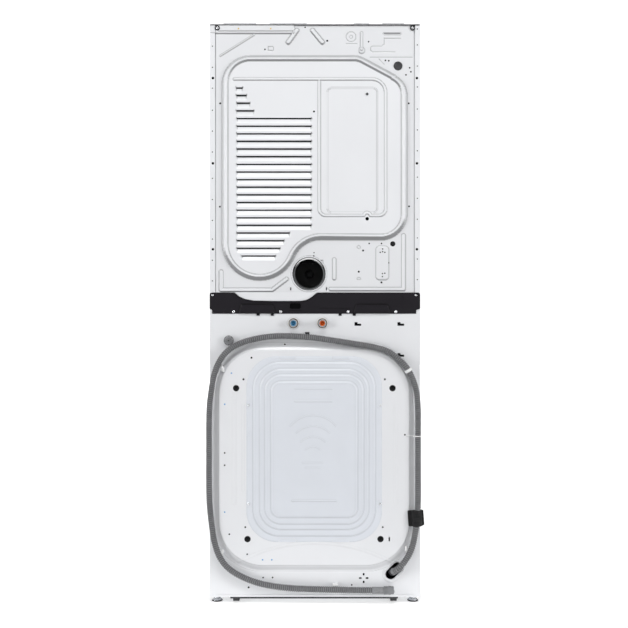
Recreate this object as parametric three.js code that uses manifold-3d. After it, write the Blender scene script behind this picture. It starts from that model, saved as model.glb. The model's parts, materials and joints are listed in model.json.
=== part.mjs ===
// A stacked laundry tower: a front-loading washer below, a tumble dryer above.
// Millimetres. +Z is up, the doors face -Y, the service side faces +Y.
import * as THREE from 'three';
import { mergeVertices } from 'three/addons/utils/BufferGeometryUtils.js';
import Module from 'manifold-3d';

const wasm = await Module();
wasm.setup();

// ---------------------------------------------------------------- driving dimensions
const HALF_WIDTH = 343;
const FRONT = -340;
const REAR = 350;
const SHEET = 1.5;
const GAP = 0.3;
const BASE_Z = 20.5;
const WASHER_TOP = 965;
const TOWER_TOP = 1888;
const CONTROL_LOW = 880;
const CONTROL_HIGH = 1050;
const WASHER_AXIS = 440;
const DRYER_AXIS = 1470;
const DOOR_OPENING_R = 190;
const DOOR_R = 235;
const DUCT = { x: 19.4, z: 1074 };
const DECK_TOP = 987;
const MOTOR = { x: 19.4, z: 1080 };

// Front and rear faces of what lies inside the folded side sheets
const INNER_FRONT = FRONT + 2 * SHEET + 2 * GAP;
const INNER_REAR = REAR - 2 * SHEET - 2 * GAP;
const INNER_HALF = HALF_WIDTH - SHEET - GAP;
const RIM_FRONT = INNER_FRONT + GAP;

// ---------------------------------------------------------------- materials
function finish(color, roughness, metalness = 0) {
  return new THREE.MeshStandardMaterial({ color, roughness, metalness });
}

const PAINT = finish(0xe9eaec, 0.4);
const COOL_PLASTIC = finish(0xe3e8ee, 0.45);
const BLACK_PAINT = finish(0x24262a, 0.5);
const GALVANISED = finish(0xb4b8bc, 0.45, 0.8);
const STAINLESS = finish(0xc9ccd0, 0.3, 0.95);
const GREY_PLASTIC = finish(0x9da1a5, 0.6);
const DARK_PLASTIC = finish(0x3a3d42, 0.5);
const WHITE_PLASTIC = finish(0xf2f3f4, 0.35);
const TUB_PLASTIC = finish(0xd9dadb, 0.6);
const RUBBER = finish(0x6d7074, 0.8);
const BLACK_RUBBER = finish(0x1b1b1d, 0.85);
const CAST = finish(0x55585c, 0.7, 0.4);
const GLASS = finish(0x5c6670, 0.1);
const COPPER_STEEL = finish(0x8f6a4a, 0.5, 0.7);
const CHROME = finish(0xd8dadc, 0.15, 1);

// ---------------------------------------------------------------- solids
function solid(geometry) {
  const bare = geometry.clone();
  bare.deleteAttribute('normal');
  bare.deleteAttribute('uv');
  const welded = mergeVertices(bare, 1e-3);
  const source = welded.index.array;
  const triangles = [];
  for (let i = 0; i < source.length; i += 3) {
    const [a, b, c] = [source[i], source[i + 1], source[i + 2]];
    if (a !== b && b !== c && c !== a) triangles.push(a, b, c);
  }
  return new wasm.Manifold(new wasm.Mesh({
    numProp: 3,
    vertProperties: new Float32Array(welded.attributes.position.array),
    triVerts: new Uint32Array(triangles),
  }));
}

function toGeometry(manifold) {
  const mesh = manifold.getMesh();
  const geometry = new THREE.BufferGeometry();
  geometry.setAttribute('position', new THREE.BufferAttribute(mesh.vertProperties, 3));
  geometry.setIndex(new THREE.BufferAttribute(mesh.triVerts, 1));
  geometry.computeVertexNormals();
  return geometry;
}

function join(...parts) {
  return parts.reduce((whole, part) => whole.add(part));
}

function cut(whole, ...tools) {
  return tools.reduce((left, tool) => left.subtract(tool), whole);
}

function block(x0, x1, y0, y1, z0, z1) {
  const box = new THREE.BoxGeometry(x1 - x0, y1 - y0, z1 - z0);
  box.translate((x0 + x1) / 2, (y0 + y1) / 2, (z0 + z1) / 2);
  return solid(box);
}

// A rod along 'x', 'y' or 'z' between two ends; a and b are its centre on the other two axes.
function rod(axis, a, b, low, high, radius, segments = 16, endRadius = radius) {
  const shape = new THREE.CylinderGeometry(endRadius, radius, high - low, segments);
  const middle = (low + high) / 2;
  if (axis === 'x') shape.rotateZ(-Math.PI / 2).translate(middle, a, b);
  if (axis === 'y') shape.translate(a, middle, b);
  if (axis === 'z') shape.rotateX(Math.PI / 2).translate(a, b, middle);
  return solid(shape);
}

// A ring or disc turned about a line along Y through (x, z). The profile holds [radius, y] pairs.
function turned(profile, x, z, segments = 26) {
  const points = profile.map(([radius, y]) => new THREE.Vector2(radius, y));
  if (THREE.ShapeUtils.area(points) < 0) points.reverse();
  const onAxis = points.findIndex((p, i) => p.x === 0 && points[(i + 1) % points.length].x === 0);
  const ordered = onAxis < 0
    ? [...points, points[0]]
    : [...points.slice(onAxis + 1), ...points.slice(0, onAxis + 1)];
  const lathe = new THREE.LatheGeometry(ordered, segments);
  lathe.translate(x, 0, z);
  const made = solid(lathe);
  return made.volume() > 0 ? made : solid(insideOut(lathe));
}

function insideOut(geometry) {
  const flipped = geometry.clone();
  const index = flipped.index.array;
  for (let i = 0; i < index.length; i += 3) {
    [index[i], index[i + 1]] = [index[i + 1], index[i]];
  }
  return flipped;
}

// A flat outline in X and Z, made thick along Y.
function sheetXZ(shape, yLow, yHigh, curveSegments = 10, bevel = null) {
  const options = { depth: yHigh - yLow, bevelEnabled: false, curveSegments };
  if (bevel) {
    Object.assign(options, { bevelEnabled: true, bevelSegments: 1, ...bevel });
  }
  const plate = new THREE.ExtrudeGeometry(shape, options);
  plate.rotateX(Math.PI / 2);
  plate.translate(0, yHigh, 0);
  return solid(plate);
}

function polygon(points) {
  return new THREE.Shape(points.map(([x, y]) => new THREE.Vector2(x, y)));
}

function roundedRect(x0, x1, z0, z1, radius, target = new THREE.Shape()) {
  target.moveTo(x0 + radius, z0);
  target.lineTo(x1 - radius, z0);
  target.absarc(x1 - radius, z0 + radius, radius, -Math.PI / 2, 0, false);
  target.lineTo(x1, z1 - radius);
  target.absarc(x1 - radius, z1 - radius, radius, 0, Math.PI / 2, false);
  target.lineTo(x0 + radius, z1);
  target.absarc(x0 + radius, z1 - radius, radius, Math.PI / 2, Math.PI, false);
  target.lineTo(x0, z0 + radius);
  target.absarc(x0 + radius, z0 + radius, radius, Math.PI, 1.5 * Math.PI, false);
  return target;
}

// Four upright walls around a rectangle in plan
function wallRing(halfX, y0, y1, z0, z1, wall) {
  const outer = block(-halfX, halfX, y0, y1, z0, z1);
  const inner = block(-halfX + wall, halfX - wall, y0 + wall, y1 - wall, z0 - 1, z1 + 1);
  return outer.subtract(inner);
}

const tower = new THREE.Group();

function place(name, shape, material) {
  const mesh = new THREE.Mesh(toGeometry(shape), material);
  mesh.name = name;
  tower.add(mesh);
}

// ---------------------------------------------------------------- cabinet sheets
const FLANGE = 21;
const REAR_FLANGE = 16.5;

function sidePanel(sign, low, high, rearFace, rearFlange) {
  const web = HALF_WIDTH - SHEET;
  const front = FRONT + SHEET + GAP;
  const outline = [
    [HALF_WIDTH - FLANGE, front], [HALF_WIDTH, front],
    [HALF_WIDTH, rearFace], [HALF_WIDTH - rearFlange, rearFace],
    [HALF_WIDTH - rearFlange, rearFace - SHEET], [web, rearFace - SHEET],
    [web, front + SHEET], [HALF_WIDTH - FLANGE, front + SHEET],
  ].map(([x, y]) => [sign * x, y]);
  const plan = polygon(sign > 0 ? outline : outline.reverse());
  const sheet = new THREE.ExtrudeGeometry(plan, { depth: high - low, bevelEnabled: false });
  sheet.translate(0, 0, low);
  return solid(sheet);
}

for (const [side, sign] of [['left', -1], ['right', 1]]) {
  const washerRear = REAR - SHEET - GAP;
  place(`washer_side_panel_${side}`,
    sidePanel(sign, BASE_Z, WASHER_TOP - GAP, washerRear, FLANGE), PAINT);
  place(`dryer_side_panel_${side}`,
    sidePanel(sign, WASHER_TOP, TOWER_TOP - 3.3, REAR, REAR_FLANGE), PAINT);
}

// Bulged washer back with its service opening, inlet holes, hose hole and transit-bolt holes
const BULGE = { x0: -305, x1: 310, z0: 129, z1: 826, radius: 141, height: 12, slope: 24 };
const INLETS = { cold: { x: 70, z: 913 }, hot: { x: -24, z: 913 } };
const HOSE_HOLE = { x: -258, z: 106, half: 16, radius: 17 };
const TRANSIT_BOLTS = [[256, 702], [-252, 702], [219, 212], [-213, 212]];

function pillow(shape, crest, depth, height, slope, curveSegments) {
  return sheetXZ(shape, crest - height - depth, crest - height, curveSegments,
    { bevelThickness: height, bevelSize: slope });
}

function washerRearPanel() {
  const face = polygon([[-HALF_WIDTH, BASE_Z], [HALF_WIDTH, BASE_Z],
    [HALF_WIDTH, WASHER_TOP - GAP], [-HALF_WIDTH, WASHER_TOP - GAP]]);
  const outline = () => roundedRect(BULGE.x0, BULGE.x1, BULGE.z0, BULGE.z1, BULGE.radius);
  const crest = REAR + BULGE.height;
  const outer = pillow(outline(), crest, 20, BULGE.height, BULGE.slope, 3);
  const inner = pillow(outline(), crest - SHEET, 20, BULGE.height, BULGE.slope, 3);
  const behind = block(-400, 400, REAR - SHEET, REAR + 50, 0, WASHER_TOP);
  let panel = join(sheetXZ(face, REAR - SHEET, REAR), outer.intersect(behind));
  panel = cut(panel, inner);
  const opening = roundedRect(-187, 192, 235, 775, 72);
  panel = cut(panel, sheetXZ(opening, REAR, REAR + 40));
  for (const inlet of Object.values(INLETS)) {
    panel = cut(panel, rod('y', inlet.x, inlet.z, REAR - 5, REAR + 5, 13.8));
  }
  for (const [x, z] of TRANSIT_BOLTS) {
    panel = cut(panel, rod('y', x, z, REAR - 5, REAR + 30, 10.4, 16));
  }
  const slot = join(
    rod('y', HOSE_HOLE.x - 11, HOSE_HOLE.z + 11, REAR - 5, REAR + 30, HOSE_HOLE.radius),
    rod('y', HOSE_HOLE.x + 11, HOSE_HOLE.z - 11, REAR - 5, REAR + 30, HOSE_HOLE.radius),
    rod('y', HOSE_HOLE.x, HOSE_HOLE.z, REAR - 5, REAR + 30, HOSE_HOLE.radius));
  return cut(panel, slot);
}
place('washer_rear_panel', washerRearPanel(), PAINT);

// Service cover: a flange with four raised steps, hollow behind
function serviceCover() {
  const centre = { x: 2.5, z: 504.5 };
  const seat = REAR + BULGE.height + GAP;
  const rise = 2.5;
  const steps = [
    { halfX: 220, halfZ: 302, radius: 100 },
    { halfX: 195, halfZ: 279, radius: 82 },
    { halfX: 174, halfZ: 257, radius: 66 },
    { halfX: 157, halfZ: 239, radius: 50 },
    { halfX: 137, halfZ: 217, radius: 27 },
  ];
  const outline = (step, inset) => roundedRect(
    centre.x - step.halfX + inset, centre.x + step.halfX - inset,
    centre.z - step.halfZ + inset, centre.z + step.halfZ - inset, step.radius - inset);
  let cover = sheetXZ(outline(steps[0], 0), seat, seat + SHEET, 2);
  steps.slice(1).forEach((step, k) => {
    cover = join(cover, sheetXZ(outline(step, 0), seat, seat + SHEET + rise * (k + 1), 2));
  });
  steps.slice(1).forEach((step, k) => {
    cover = cut(cover, sheetXZ(outline(step, 2), seat - 5, seat + rise * (k + 1), 2));
  });
  return cover;
}
place('rear_service_cover', serviceCover(), COOL_PLASTIC);

// Dryer back: a raised dome around the duct hole, with rows of air slits
const DOME = {
  left: 290, right: -286, top: 1773, height: 12, slope: 13,
  lobe: { x: 180, z: 1175, radius: 110 },
  duct: { x: -20, z: 1090 },
};
const SLIT = { count: 23, top: 1680, pitch: 24.9, height: 3, x0: 11, x1: 255 };

function domeOutline() {
  const { lobe, duct } = DOME;
  const apart = Math.hypot(lobe.x - duct.x, lobe.z - duct.z);
  const concave = apart - lobe.radius;
  const meet = Math.atan2(lobe.z - duct.z, lobe.x - duct.x);
  const shape = new THREE.Shape();
  shape.moveTo(DOME.left, lobe.z);
  shape.lineTo(DOME.left, DOME.top - 80);
  shape.absarc(DOME.left - 80, DOME.top - 80, 80, 0, Math.PI / 2, false);
  shape.lineTo(-141, DOME.top);
  shape.lineTo(-262, DOME.top - 62);
  shape.quadraticCurveTo(DOME.right, DOME.top - 76, DOME.right, DOME.top - 105);
  shape.lineTo(DOME.right, 1270);
  shape.absarc(DOME.right + 72, 1270, 72, Math.PI, 1.5 * Math.PI, false);
  shape.lineTo(duct.x, duct.z + concave);
  shape.absarc(duct.x, duct.z, concave, Math.PI / 2, meet, true);
  shape.absarc(lobe.x, lobe.z, lobe.radius, meet + Math.PI, 2 * Math.PI, false);
  return shape;
}

function slitSpan(k) {
  if (k < 4) return [SLIT.x1 - 22 - 12 * k, SLIT.x1];
  if (k < 19) return [SLIT.x0, SLIT.x1];
  if (k < 22) return [SLIT.x0 + 70 + 14 * (k - 19), SLIT.x1];
  return [SLIT.x0 + 118, SLIT.x1 - 17];
}

function dryerRearPanel() {
  const face = REAR - SHEET - GAP;
  const outline = polygon([[-341, 1013], [341, 1013], [341, 1884.4], [-341, 1884.4]]);
  const crest = REAR + DOME.height;
  const rise = crest - face;
  const outer = pillow(domeOutline(), crest, 20, rise, DOME.slope, 3);
  const inner = pillow(domeOutline(), crest - SHEET, 20, rise, DOME.slope, 3);
  const behind = block(-400, 400, face - SHEET, REAR + 50, 1000, 1900);
  let panel = join(sheetXZ(outline, face - SHEET, face), outer.intersect(behind));
  panel = cut(panel, inner, rod('y', DUCT.x, DUCT.z, face - 20, REAR + 40, 54, 32));
  for (let k = 0; k < SLIT.count; k += 1) {
    const z = SLIT.top - SLIT.pitch * k;
    const [x0, x1] = slitSpan(k);
    panel = cut(panel, block(x0, x1, REAR, REAR + 40, z - SLIT.height, z));
  }
  return panel;
}
place('dryer_rear_panel', dryerRearPanel(), PAINT);

place('top_cover', join(
  block(-HALF_WIDTH, HALF_WIDTH, FRONT, REAR, TOWER_TOP - 3, TOWER_TOP),
  wallRing(INNER_HALF - GAP, RIM_FRONT, INNER_REAR, 1866, TOWER_TOP - 2, 2),
), PAINT);

// Hinge block that both front sheets carry, between the two knuckles of a door
const HINGE = { x: -250, y: -350, knuckle: 7 };

function hingeBlock(axisZ) {
  return join(
    block(HINGE.x - 12, HINGE.x + 10, HINGE.y - 7, FRONT + 1, axisZ - 18, axisZ + 18),
    rod('z', HINGE.x, HINGE.y, axisZ - 19.5, axisZ + 19.5, 3, 12));
}

const PUMP_FLAP = { x0: 191, x1: 289, z0: 46, z1: 114 };

function washerFrontPanel() {
  const outline = polygon([[-HALF_WIDTH, BASE_Z], [HALF_WIDTH, BASE_Z],
    [HALF_WIDTH, CONTROL_LOW - 2], [-HALF_WIDTH, CONTROL_LOW - 2]]);
  let panel = sheetXZ(outline, FRONT, FRONT + SHEET);
  const collar = turned([[DOOR_OPENING_R, FRONT], [DOOR_OPENING_R + SHEET, FRONT],
    [DOOR_OPENING_R + SHEET, FRONT + 15], [DOOR_OPENING_R, FRONT + 15]], 0, WASHER_AXIS, 40);
  panel = cut(panel, rod('y', 0, WASHER_AXIS, FRONT - 5, FRONT + 5, DOOR_OPENING_R + 1, 40));
  panel = join(panel, collar, hingeBlock(WASHER_AXIS));
  return cut(panel, block(PUMP_FLAP.x0 - 1, PUMP_FLAP.x1 + 1, FRONT - 5, FRONT + 5,
    PUMP_FLAP.z0 - 2, PUMP_FLAP.z1 + 1));
}
place('washer_front_panel', washerFrontPanel(), PAINT);

place('pump_flap', join(
  block(PUMP_FLAP.x0, PUMP_FLAP.x1, FRONT, FRONT + 2, PUMP_FLAP.z0, PUMP_FLAP.z1),
  block(PUMP_FLAP.x0 + 30, PUMP_FLAP.x1 - 30, FRONT - 3, FRONT + 1, PUMP_FLAP.z1 - 8, PUMP_FLAP.z1 - 4),
), PAINT);

function dryerFrontPanel() {
  const outline = polygon([[-HALF_WIDTH, CONTROL_HIGH + 2], [HALF_WIDTH, CONTROL_HIGH + 2],
    [HALF_WIDTH, TOWER_TOP - 3.3], [-HALF_WIDTH, TOWER_TOP - 3.3]]);
  let panel = sheetXZ(outline, FRONT, FRONT + SHEET);
  panel = cut(panel, rod('y', 0, DRYER_AXIS, FRONT - 5, FRONT + 5, DOOR_OPENING_R, 40));
  return join(panel, hingeBlock(DRYER_AXIS));
}
place('dryer_front_panel', dryerFrontPanel(), PAINT);

// ---------------------------------------------------------------- frames and feet
const FEET = [['front_left', -322, -305], ['front_right', 322, -305],
  ['rear_left', -322, 318], ['rear_right', 322, 318]];
const STEM_R = 6;

function baseFrame() {
  let base = join(
    block(-INNER_HALF, INNER_HALF, RIM_FRONT, INNER_REAR, BASE_Z, BASE_Z + 2.5),
    wallRing(INNER_HALF, RIM_FRONT, INNER_REAR, BASE_Z, 62, 2));
  for (const sign of [-1, 1]) {
    base = join(base, block(sign * 257 - 11, sign * 257 + 11, 300, 340, 5, BASE_Z + 1));
  }
  for (const [, x, y] of FEET) {
    base = join(base, rod('z', x, y, BASE_Z, 48, 13, 20));
    base = cut(base, rod('z', x, y, BASE_Z - 5, 60, STEM_R + 0.4, 20));
  }
  return base;
}
place('base_frame', baseFrame(), GALVANISED);

for (const [corner, x, y] of FEET) {
  place(`foot_${corner}`, join(
    rod('z', x, y, 0, 12, 18, 24, 15),
    rod('z', x, y, 11, 56, STEM_R, 20)), DARK_PLASTIC);
}

place('middle_frame', join(
  wallRing(INNER_HALF, RIM_FRONT, INNER_REAR, 966, 1012, 2),
  block(-INNER_HALF, INNER_HALF, RIM_FRONT, INNER_REAR, DECK_TOP - 2, DECK_TOP),
), GALVANISED);

// Black bracket that ties the dryer to the washer, with its cut-out top edge
function stackingBracket() {
  const shape = new THREE.Shape();
  shape.moveTo(-330, 944);
  shape.lineTo(335, 944);
  shape.lineTo(335, 958);
  shape.lineTo(HALF_WIDTH, 958);
  shape.lineTo(HALF_WIDTH, 1005);
  shape.absarc(HALF_WIDTH - 8, 1005, 8, 0, Math.PI / 2, false);
  shape.lineTo(262, 1013);
  shape.lineTo(230, 994);
  shape.lineTo(201, 986);
  shape.lineTo(45, 986);
  shape.lineTo(28, 991);
  shape.lineTo(-6, 1013);
  shape.lineTo(-HALF_WIDTH + 8, 1013);
  shape.absarc(-HALF_WIDTH + 8, 1005, 8, Math.PI / 2, Math.PI, false);
  shape.lineTo(-HALF_WIDTH, 958);
  shape.lineTo(-330, 958);
  let plate = sheetXZ(shape, REAR + GAP, REAR + GAP + 2.5, 4);
  for (const x of [188, -186]) {
    plate = join(plate, block(x - 52, x + 52, REAR + 1, REAR + 7, 946, 970));
  }
  return cut(plate, rod('y', 61, 970, REAR - 5, REAR + 15, 9.5, 20));
}
place('stacking_bracket', stackingBracket(), BLACK_PAINT);

// ---------------------------------------------------------------- water connections
for (const [name, at] of Object.entries(INLETS)) {
  const valve = join(
    block(at.x - 22, at.x + 22, 296, 343, at.z - 24, at.z + 24),
    rod('y', at.x, at.z, 342, REAR + 22, 13.2, 24),
    rod('y', at.x, at.z, REAR + GAP, REAR + 3, 16, 24));
  place(`${name}_inlet_valve`, cut(valve, rod('y', at.x, at.z, 330, REAR + 30, 9, 16)), CHROME);
}

// The drain hose leaves the hole low on the back and is clipped once round the washer.
// Its route is a hand-picked list of [x, z], at HOSE.y behind the cabinet.
const HOSE = { y: 371, radius: 11 };
const HOSE_ROUTE = [
  [-274, 122], [-290, 141], [-305, 165], [-315, 190], [-322, 220], [-328, 256],
  [-332, 300], [-334, 350], [-334, 440], [-334, 540], [-334, 630], [-330, 684],
  [-318, 728], [-299, 766], [-270, 797], [-236, 822], [-190, 836], [-130, 846],
  [-60, 857], [10, 867], [75, 871], [130, 871], [180, 865], [225, 854], [262, 838],
  [290, 816], [311, 786], [326, 748], [334, 706], [341, 650], [343, 590], [343, 500],
  [343, 400], [341, 330], [334, 260], [325, 205], [309, 158], [282, 122], [243, 96],
  [195, 76], [140, 63], [70, 55], [-10, 52], [-90, 50], [-160, 49], [-222, 48.5],
];

function drainHose() {
  const inside = [[-252, 330, 100], [-256, 350, 104]];
  const points = inside.map(([x, y, z]) => new THREE.Vector3(x, y, z));
  points.push(new THREE.Vector3(-263, 364, 111));
  for (const [x, z] of HOSE_ROUTE) points.push(new THREE.Vector3(x, HOSE.y, z));
  const path = new THREE.CatmullRomCurve3(points, false, 'centripetal');
  const section = new THREE.Shape();
  section.absarc(0, 0, HOSE.radius, 0, 2 * Math.PI, false);
  const tube = new THREE.ExtrudeGeometry(section, {
    steps: 64, extrudePath: path, curveSegments: 4, bevelEnabled: false,
  });
  return { shape: solid(tube), length: path.getLength() };
}
const hose = drainHose();
place('drain_hose', hose.shape, GREY_PLASTIC);

place('hose_end_fitting', cut(
  join(rod('x', HOSE.y, 48.5, -255, -222.6, 13, 20), rod('x', HOSE.y, 48.5, -230, -224, 14, 20)),
  rod('x', HOSE.y, 48.5, -256, -221, 8, 16),
  block(-256, -248, HOSE.y - 4, HOSE.y + 4, 40, 70),
), GREY_PLASTIC);

place('hose_strap', cut(
  block(-354, -303, 362.4, 385, 257, 309),
  block(-347, -313, 359, 383, 250, 315),
), BLACK_RUBBER);

place('drain_pump', join(
  rod('y', 240, 80, -328, -190, 38, 28),
  rod('y', 240, 80, -250, -205, 46, 28),
  block(205, 275, -320, -200, 23.5, 60),
), GREY_PLASTIC);

// ---------------------------------------------------------------- controls and detergent drawer
const PANEL_FACE = -352;
const KNOB_ROWS = { washer: 925, dryer: 1010 };
const BUTTON_X = 90;

function controlPanel() {
  let panel = block(-HALF_WIDTH, HALF_WIDTH, PANEL_FACE, FRONT + 1, CONTROL_LOW, CONTROL_HIGH);
  panel = cut(panel, block(-HALF_WIDTH + 3, HALF_WIDTH - 3, PANEL_FACE + 2.5, FRONT + 5,
    CONTROL_LOW + 3, CONTROL_HIGH - 3));
  panel = cut(panel, block(-326, -164, PANEL_FACE - 5, FRONT + 5, 889, 963));
  for (const z of Object.values(KNOB_ROWS)) {
    panel = cut(panel,
      rod('y', 0, z, PANEL_FACE - 5, FRONT, 5.2, 16),
      rod('y', BUTTON_X, z, PANEL_FACE - 5, FRONT, 10.6, 24));
  }
  return panel;
}
place('control_panel', controlPanel(), DARK_PLASTIC);

for (const [name, z] of Object.entries(KNOB_ROWS)) {
  place(`${name}_knob`, join(
    rod('y', 0, z, -378, PANEL_FACE - 0.8, 27, 36),
    rod('y', 0, z, -353, -337, 4.5, 16),
    block(-1.5, 1.5, -379, -370, z + 12, z + 25)), CHROME);
  place(`${name}_start_button`, join(
    rod('y', BUTTON_X, z, PANEL_FACE - 3, -346, 10, 28),
    rod('y', BUTTON_X, z, -348.5, -346, 13, 28)), WHITE_PLASTIC);
}

const TRAY = { x0: -318, x1: -172, z0: 894, z1: 950 };

place('drawer_housing', cut(
  block(-323, -167, -336.2, -100, 890, 963),
  block(-321, -169, -340, -102, 892, 961),
), WHITE_PLASTIC);

function detergentDrawer() {
  let drawer = join(
    block(-325, -165, PANEL_FACE, -343, 890, 962),
    block(TRAY.x0, TRAY.x1, -344, -112, TRAY.z0, TRAY.z1));
  drawer = cut(drawer, block(TRAY.x0 + 2, TRAY.x1 - 2, -343, -114, TRAY.z0 + 2, TRAY.z1 + 5));
  for (const x of [-270, -220]) {
    drawer = join(drawer, block(x - 1, x + 1, -344, -113, TRAY.z0 + 1, TRAY.z1 - 4));
  }
  return cut(drawer, block(-285, -205, PANEL_FACE - 2, PANEL_FACE + 6, 884, 904));
}
place('detergent_drawer', detergentDrawer(), WHITE_PLASTIC);

// ---------------------------------------------------------------- washer tub and drum
place('door_gasket', turned([
  [189.4, -337.5], [189.4, -316], [183, -310], [187, -306], [180.2, -301], [180.2, -287],
  [177, -287], [177, -303], [183, -307], [179, -309], [170, -313], [166, -328], [170, -337.5],
], 0, WASHER_AXIS, 22), RUBBER);

place('tub_front', turned([
  [182, -300], [185, -300], [185, -285], [300, -285], [300, -66], [308, -66], [308, -60],
  [297, -60], [297, -282], [182, -282],
], 0, WASHER_AXIS, 24), TUB_PLASTIC);

function tubRear() {
  let tub = turned([
    [297, -59.7], [308, -59.7], [308, -54], [300, -54], [300, 190], [32.4, 190],
    [32.4, 166], [42, 166], [42, 187], [297, 187],
  ], 0, WASHER_AXIS, 24);
  for (const sign of [-1, 1]) {
    tub = join(tub, block(sign * 250 - 12, sign * 250 + 12, -52, -28, 606, 640.6));
  }
  return tub;
}
place('tub_rear', tubRear(), TUB_PLASTIC);

function counterweight() {
  const shape = new THREE.Shape();
  const [from, to] = [Math.PI / 3, 2 * Math.PI / 3];
  shape.absarc(0, WASHER_AXIS, 345, from, to, false);
  shape.absarc(0, WASHER_AXIS, 303, to, from, true);
  return sheetXZ(shape, -240, -130, 12);
}
place('counterweight', counterweight(), CAST);

place('shaft_bearing', turned([[17.6, 168], [31.8, 168], [31.8, 188], [17.6, 188]],
  0, WASHER_AXIS, 20), CHROME);
place('motor_stator', turned([[60, 190.4], [118, 190.4], [118, 228], [60, 228]],
  0, WASHER_AXIS), COPPER_STEEL);

// A drum: rolled wall, front lip, back plate, and three lifting vanes inside
function drum(wallR, mouthR, front, back, hubR, axisZ, vane) {
  let shell = turned([
    [mouthR, front], [wallR, front], [wallR, back], [hubR, back], [hubR, back - SHEET],
    [wallR - SHEET, back - SHEET], [wallR - SHEET, front + SHEET], [mouthR, front + SHEET],
  ], 0, axisZ);
  for (let k = 0; k < 3; k += 1) {
    const angle = (k * 2 * Math.PI) / 3;
    const fin = [[-36, wallR - 4], [-11, wallR - vane], [11, wallR - vane], [36, wallR - 4]];
    const outline = fin.map(([across, out]) => [
      out * Math.cos(angle) - across * Math.sin(angle),
      axisZ + out * Math.sin(angle) + across * Math.cos(angle),
    ]);
    shell = join(shell, sheetXZ(polygon(outline), front + 30, back - SHEET / 2));
  }
  return shell;
}

place('washer_drum', drum(268, 186, -262, 150, 17.6, WASHER_AXIS, 60), STAINLESS);

function drumSpider() {
  let spider = join(
    rod('y', 0, WASHER_AXIS, 150.4, 163.5, 46, 28),
    rod('y', 0, WASHER_AXIS, 163, 262, 17, 28));
  for (let k = 0; k < 3; k += 1) {
    const arm = new THREE.BoxGeometry(44, 11, 225);
    arm.translate(0, 156, 112.5 + 20);
    arm.rotateY((k * 2 * Math.PI) / 3);
    arm.translate(0, 0, WASHER_AXIS);
    spider = join(spider, solid(arm));
  }
  return spider;
}
place('drum_spider', drumSpider(), CAST);

place('motor_rotor', turned([
  [17.6, 234], [145, 234], [145, 200], [150, 200], [150, 240], [17.6, 240],
], 0, WASHER_AXIS), GALVANISED);

for (const [side, sign] of [['left', -1], ['right', 1]]) {
  place(`suspension_spring_${side}`, rod('z', sign * 250, -40, 641, 965.6, 13, 16), CHROME);
  place(`damper_${side}`, join(
    rod('z', sign * 200, -40, 23.4, 130, 12, 16),
    rod('z', sign * 200, -40, 129, 204, 6, 12)), GREY_PLASTIC);
}

// ---------------------------------------------------------------- dryer drum and its drive
const DRUM_R = 290;
const ROLLER_R = 28;
const ROLLER_X = 150;
const ROLLER_Z = DRYER_AXIS - Math.sqrt((DRUM_R + ROLLER_R + 0.4) ** 2 - ROLLER_X ** 2);
const FILTER = { half: 75.5, z0: 1144, z1: 1290, y0: -335.5, y1: -324.5 };

place('dryer_drum', drum(DRUM_R, 215, -300, 225, 12.8, DRYER_AXIS, 70), STAINLESS);

function frontBulkhead() {
  const shape = polygon([[-335, 1016], [335, 1016], [335, 1862], [-335, 1862]]);
  shape.holes.push(roundedRect(-66, 66, 1156, 1262, 12, new THREE.Path()));
  let plate = sheetXZ(shape, -322, -320.5);
  plate = cut(plate, rod('y', 0, DRYER_AXIS, -330, -310, 201, 24));
  plate = join(plate, turned([[200, -322], [202, -322], [202, -294], [200, -294]], 0, DRYER_AXIS, 24));
  for (const sign of [-1, 1]) {
    plate = join(plate, rod('y', sign * ROLLER_X, ROLLER_Z, -321, -260, 5, 16));
    plate = join(plate, block(sign * 78.5 - 1.5, sign * 78.5 + 1.5, -337.5, -321, 1139, 1268));
  }
  return join(plate, block(-80, 80, -337.5, -321, 1139, 1142));
}
place('front_bulkhead', frontBulkhead(), GALVANISED);

const rearPlate = polygon([[-335, 1166], [335, 1166], [335, 1862], [-335, 1862]]);
place('rear_bulkhead', join(
  sheetXZ(rearPlate, 233, 235),
  rod('y', 0, DRYER_AXIS, 216, 234, 12, 24)), GALVANISED);

for (const [side, sign] of [['left', -1], ['right', 1]]) {
  place(`drum_roller_${side}`, turned([[5.5, -288], [ROLLER_R, -288], [ROLLER_R, -266], [5.5, -266]],
    sign * ROLLER_X, ROLLER_Z, 20), BLACK_RUBBER);
}

function lintFilter() {
  let filter = join(
    block(-FILTER.half, FILTER.half, FILTER.y0, FILTER.y1, FILTER.z0, FILTER.z1),
    block(-32, 32, FILTER.y0, FILTER.y1, FILTER.z1 - 1, FILTER.z1 + 12));
  for (const x of [-36, 36]) {
    filter = cut(filter, block(x - 30, x + 30, FILTER.y0 - 1, FILTER.y1 + 1, 1156, 1262));
  }
  return filter;
}
place('lint_filter', lintFilter(), GREY_PLASTIC);

place('blower_housing', cut(
  rod('y', MOTOR.x, MOTOR.z, 120, 192, 82, 24),
  rod('y', MOTOR.x, MOTOR.z, 122.5, 189.5, 79.5, 24),
  rod('y', MOTOR.x, MOTOR.z, 115, 125, 40, 20),
  rod('y', DUCT.x, DUCT.z, 185, 195, 47, 24),
), GALVANISED);

place('exhaust_duct', turned([[49, 192.4], [50.5, 192.4], [50.5, 349], [49, 349]],
  DUCT.x, DUCT.z, 24), GALVANISED);

place('drum_motor', join(
  turned([[7, -18], [56, -18], [56, 100], [7, 100]], MOTOR.x, MOTOR.z, 20),
  block(MOTOR.x - 45, MOTOR.x + 45, 0, 80, DECK_TOP + GAP, 1032)), GALVANISED);

const PULLEY_R = 12;
place('motor_shaft', join(
  rod('y', MOTOR.x, MOTOR.z, -52, 176, 6, 16),
  rod('y', MOTOR.x, MOTOR.z, -50, -26, PULLEY_R, 28)), CHROME);

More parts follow.
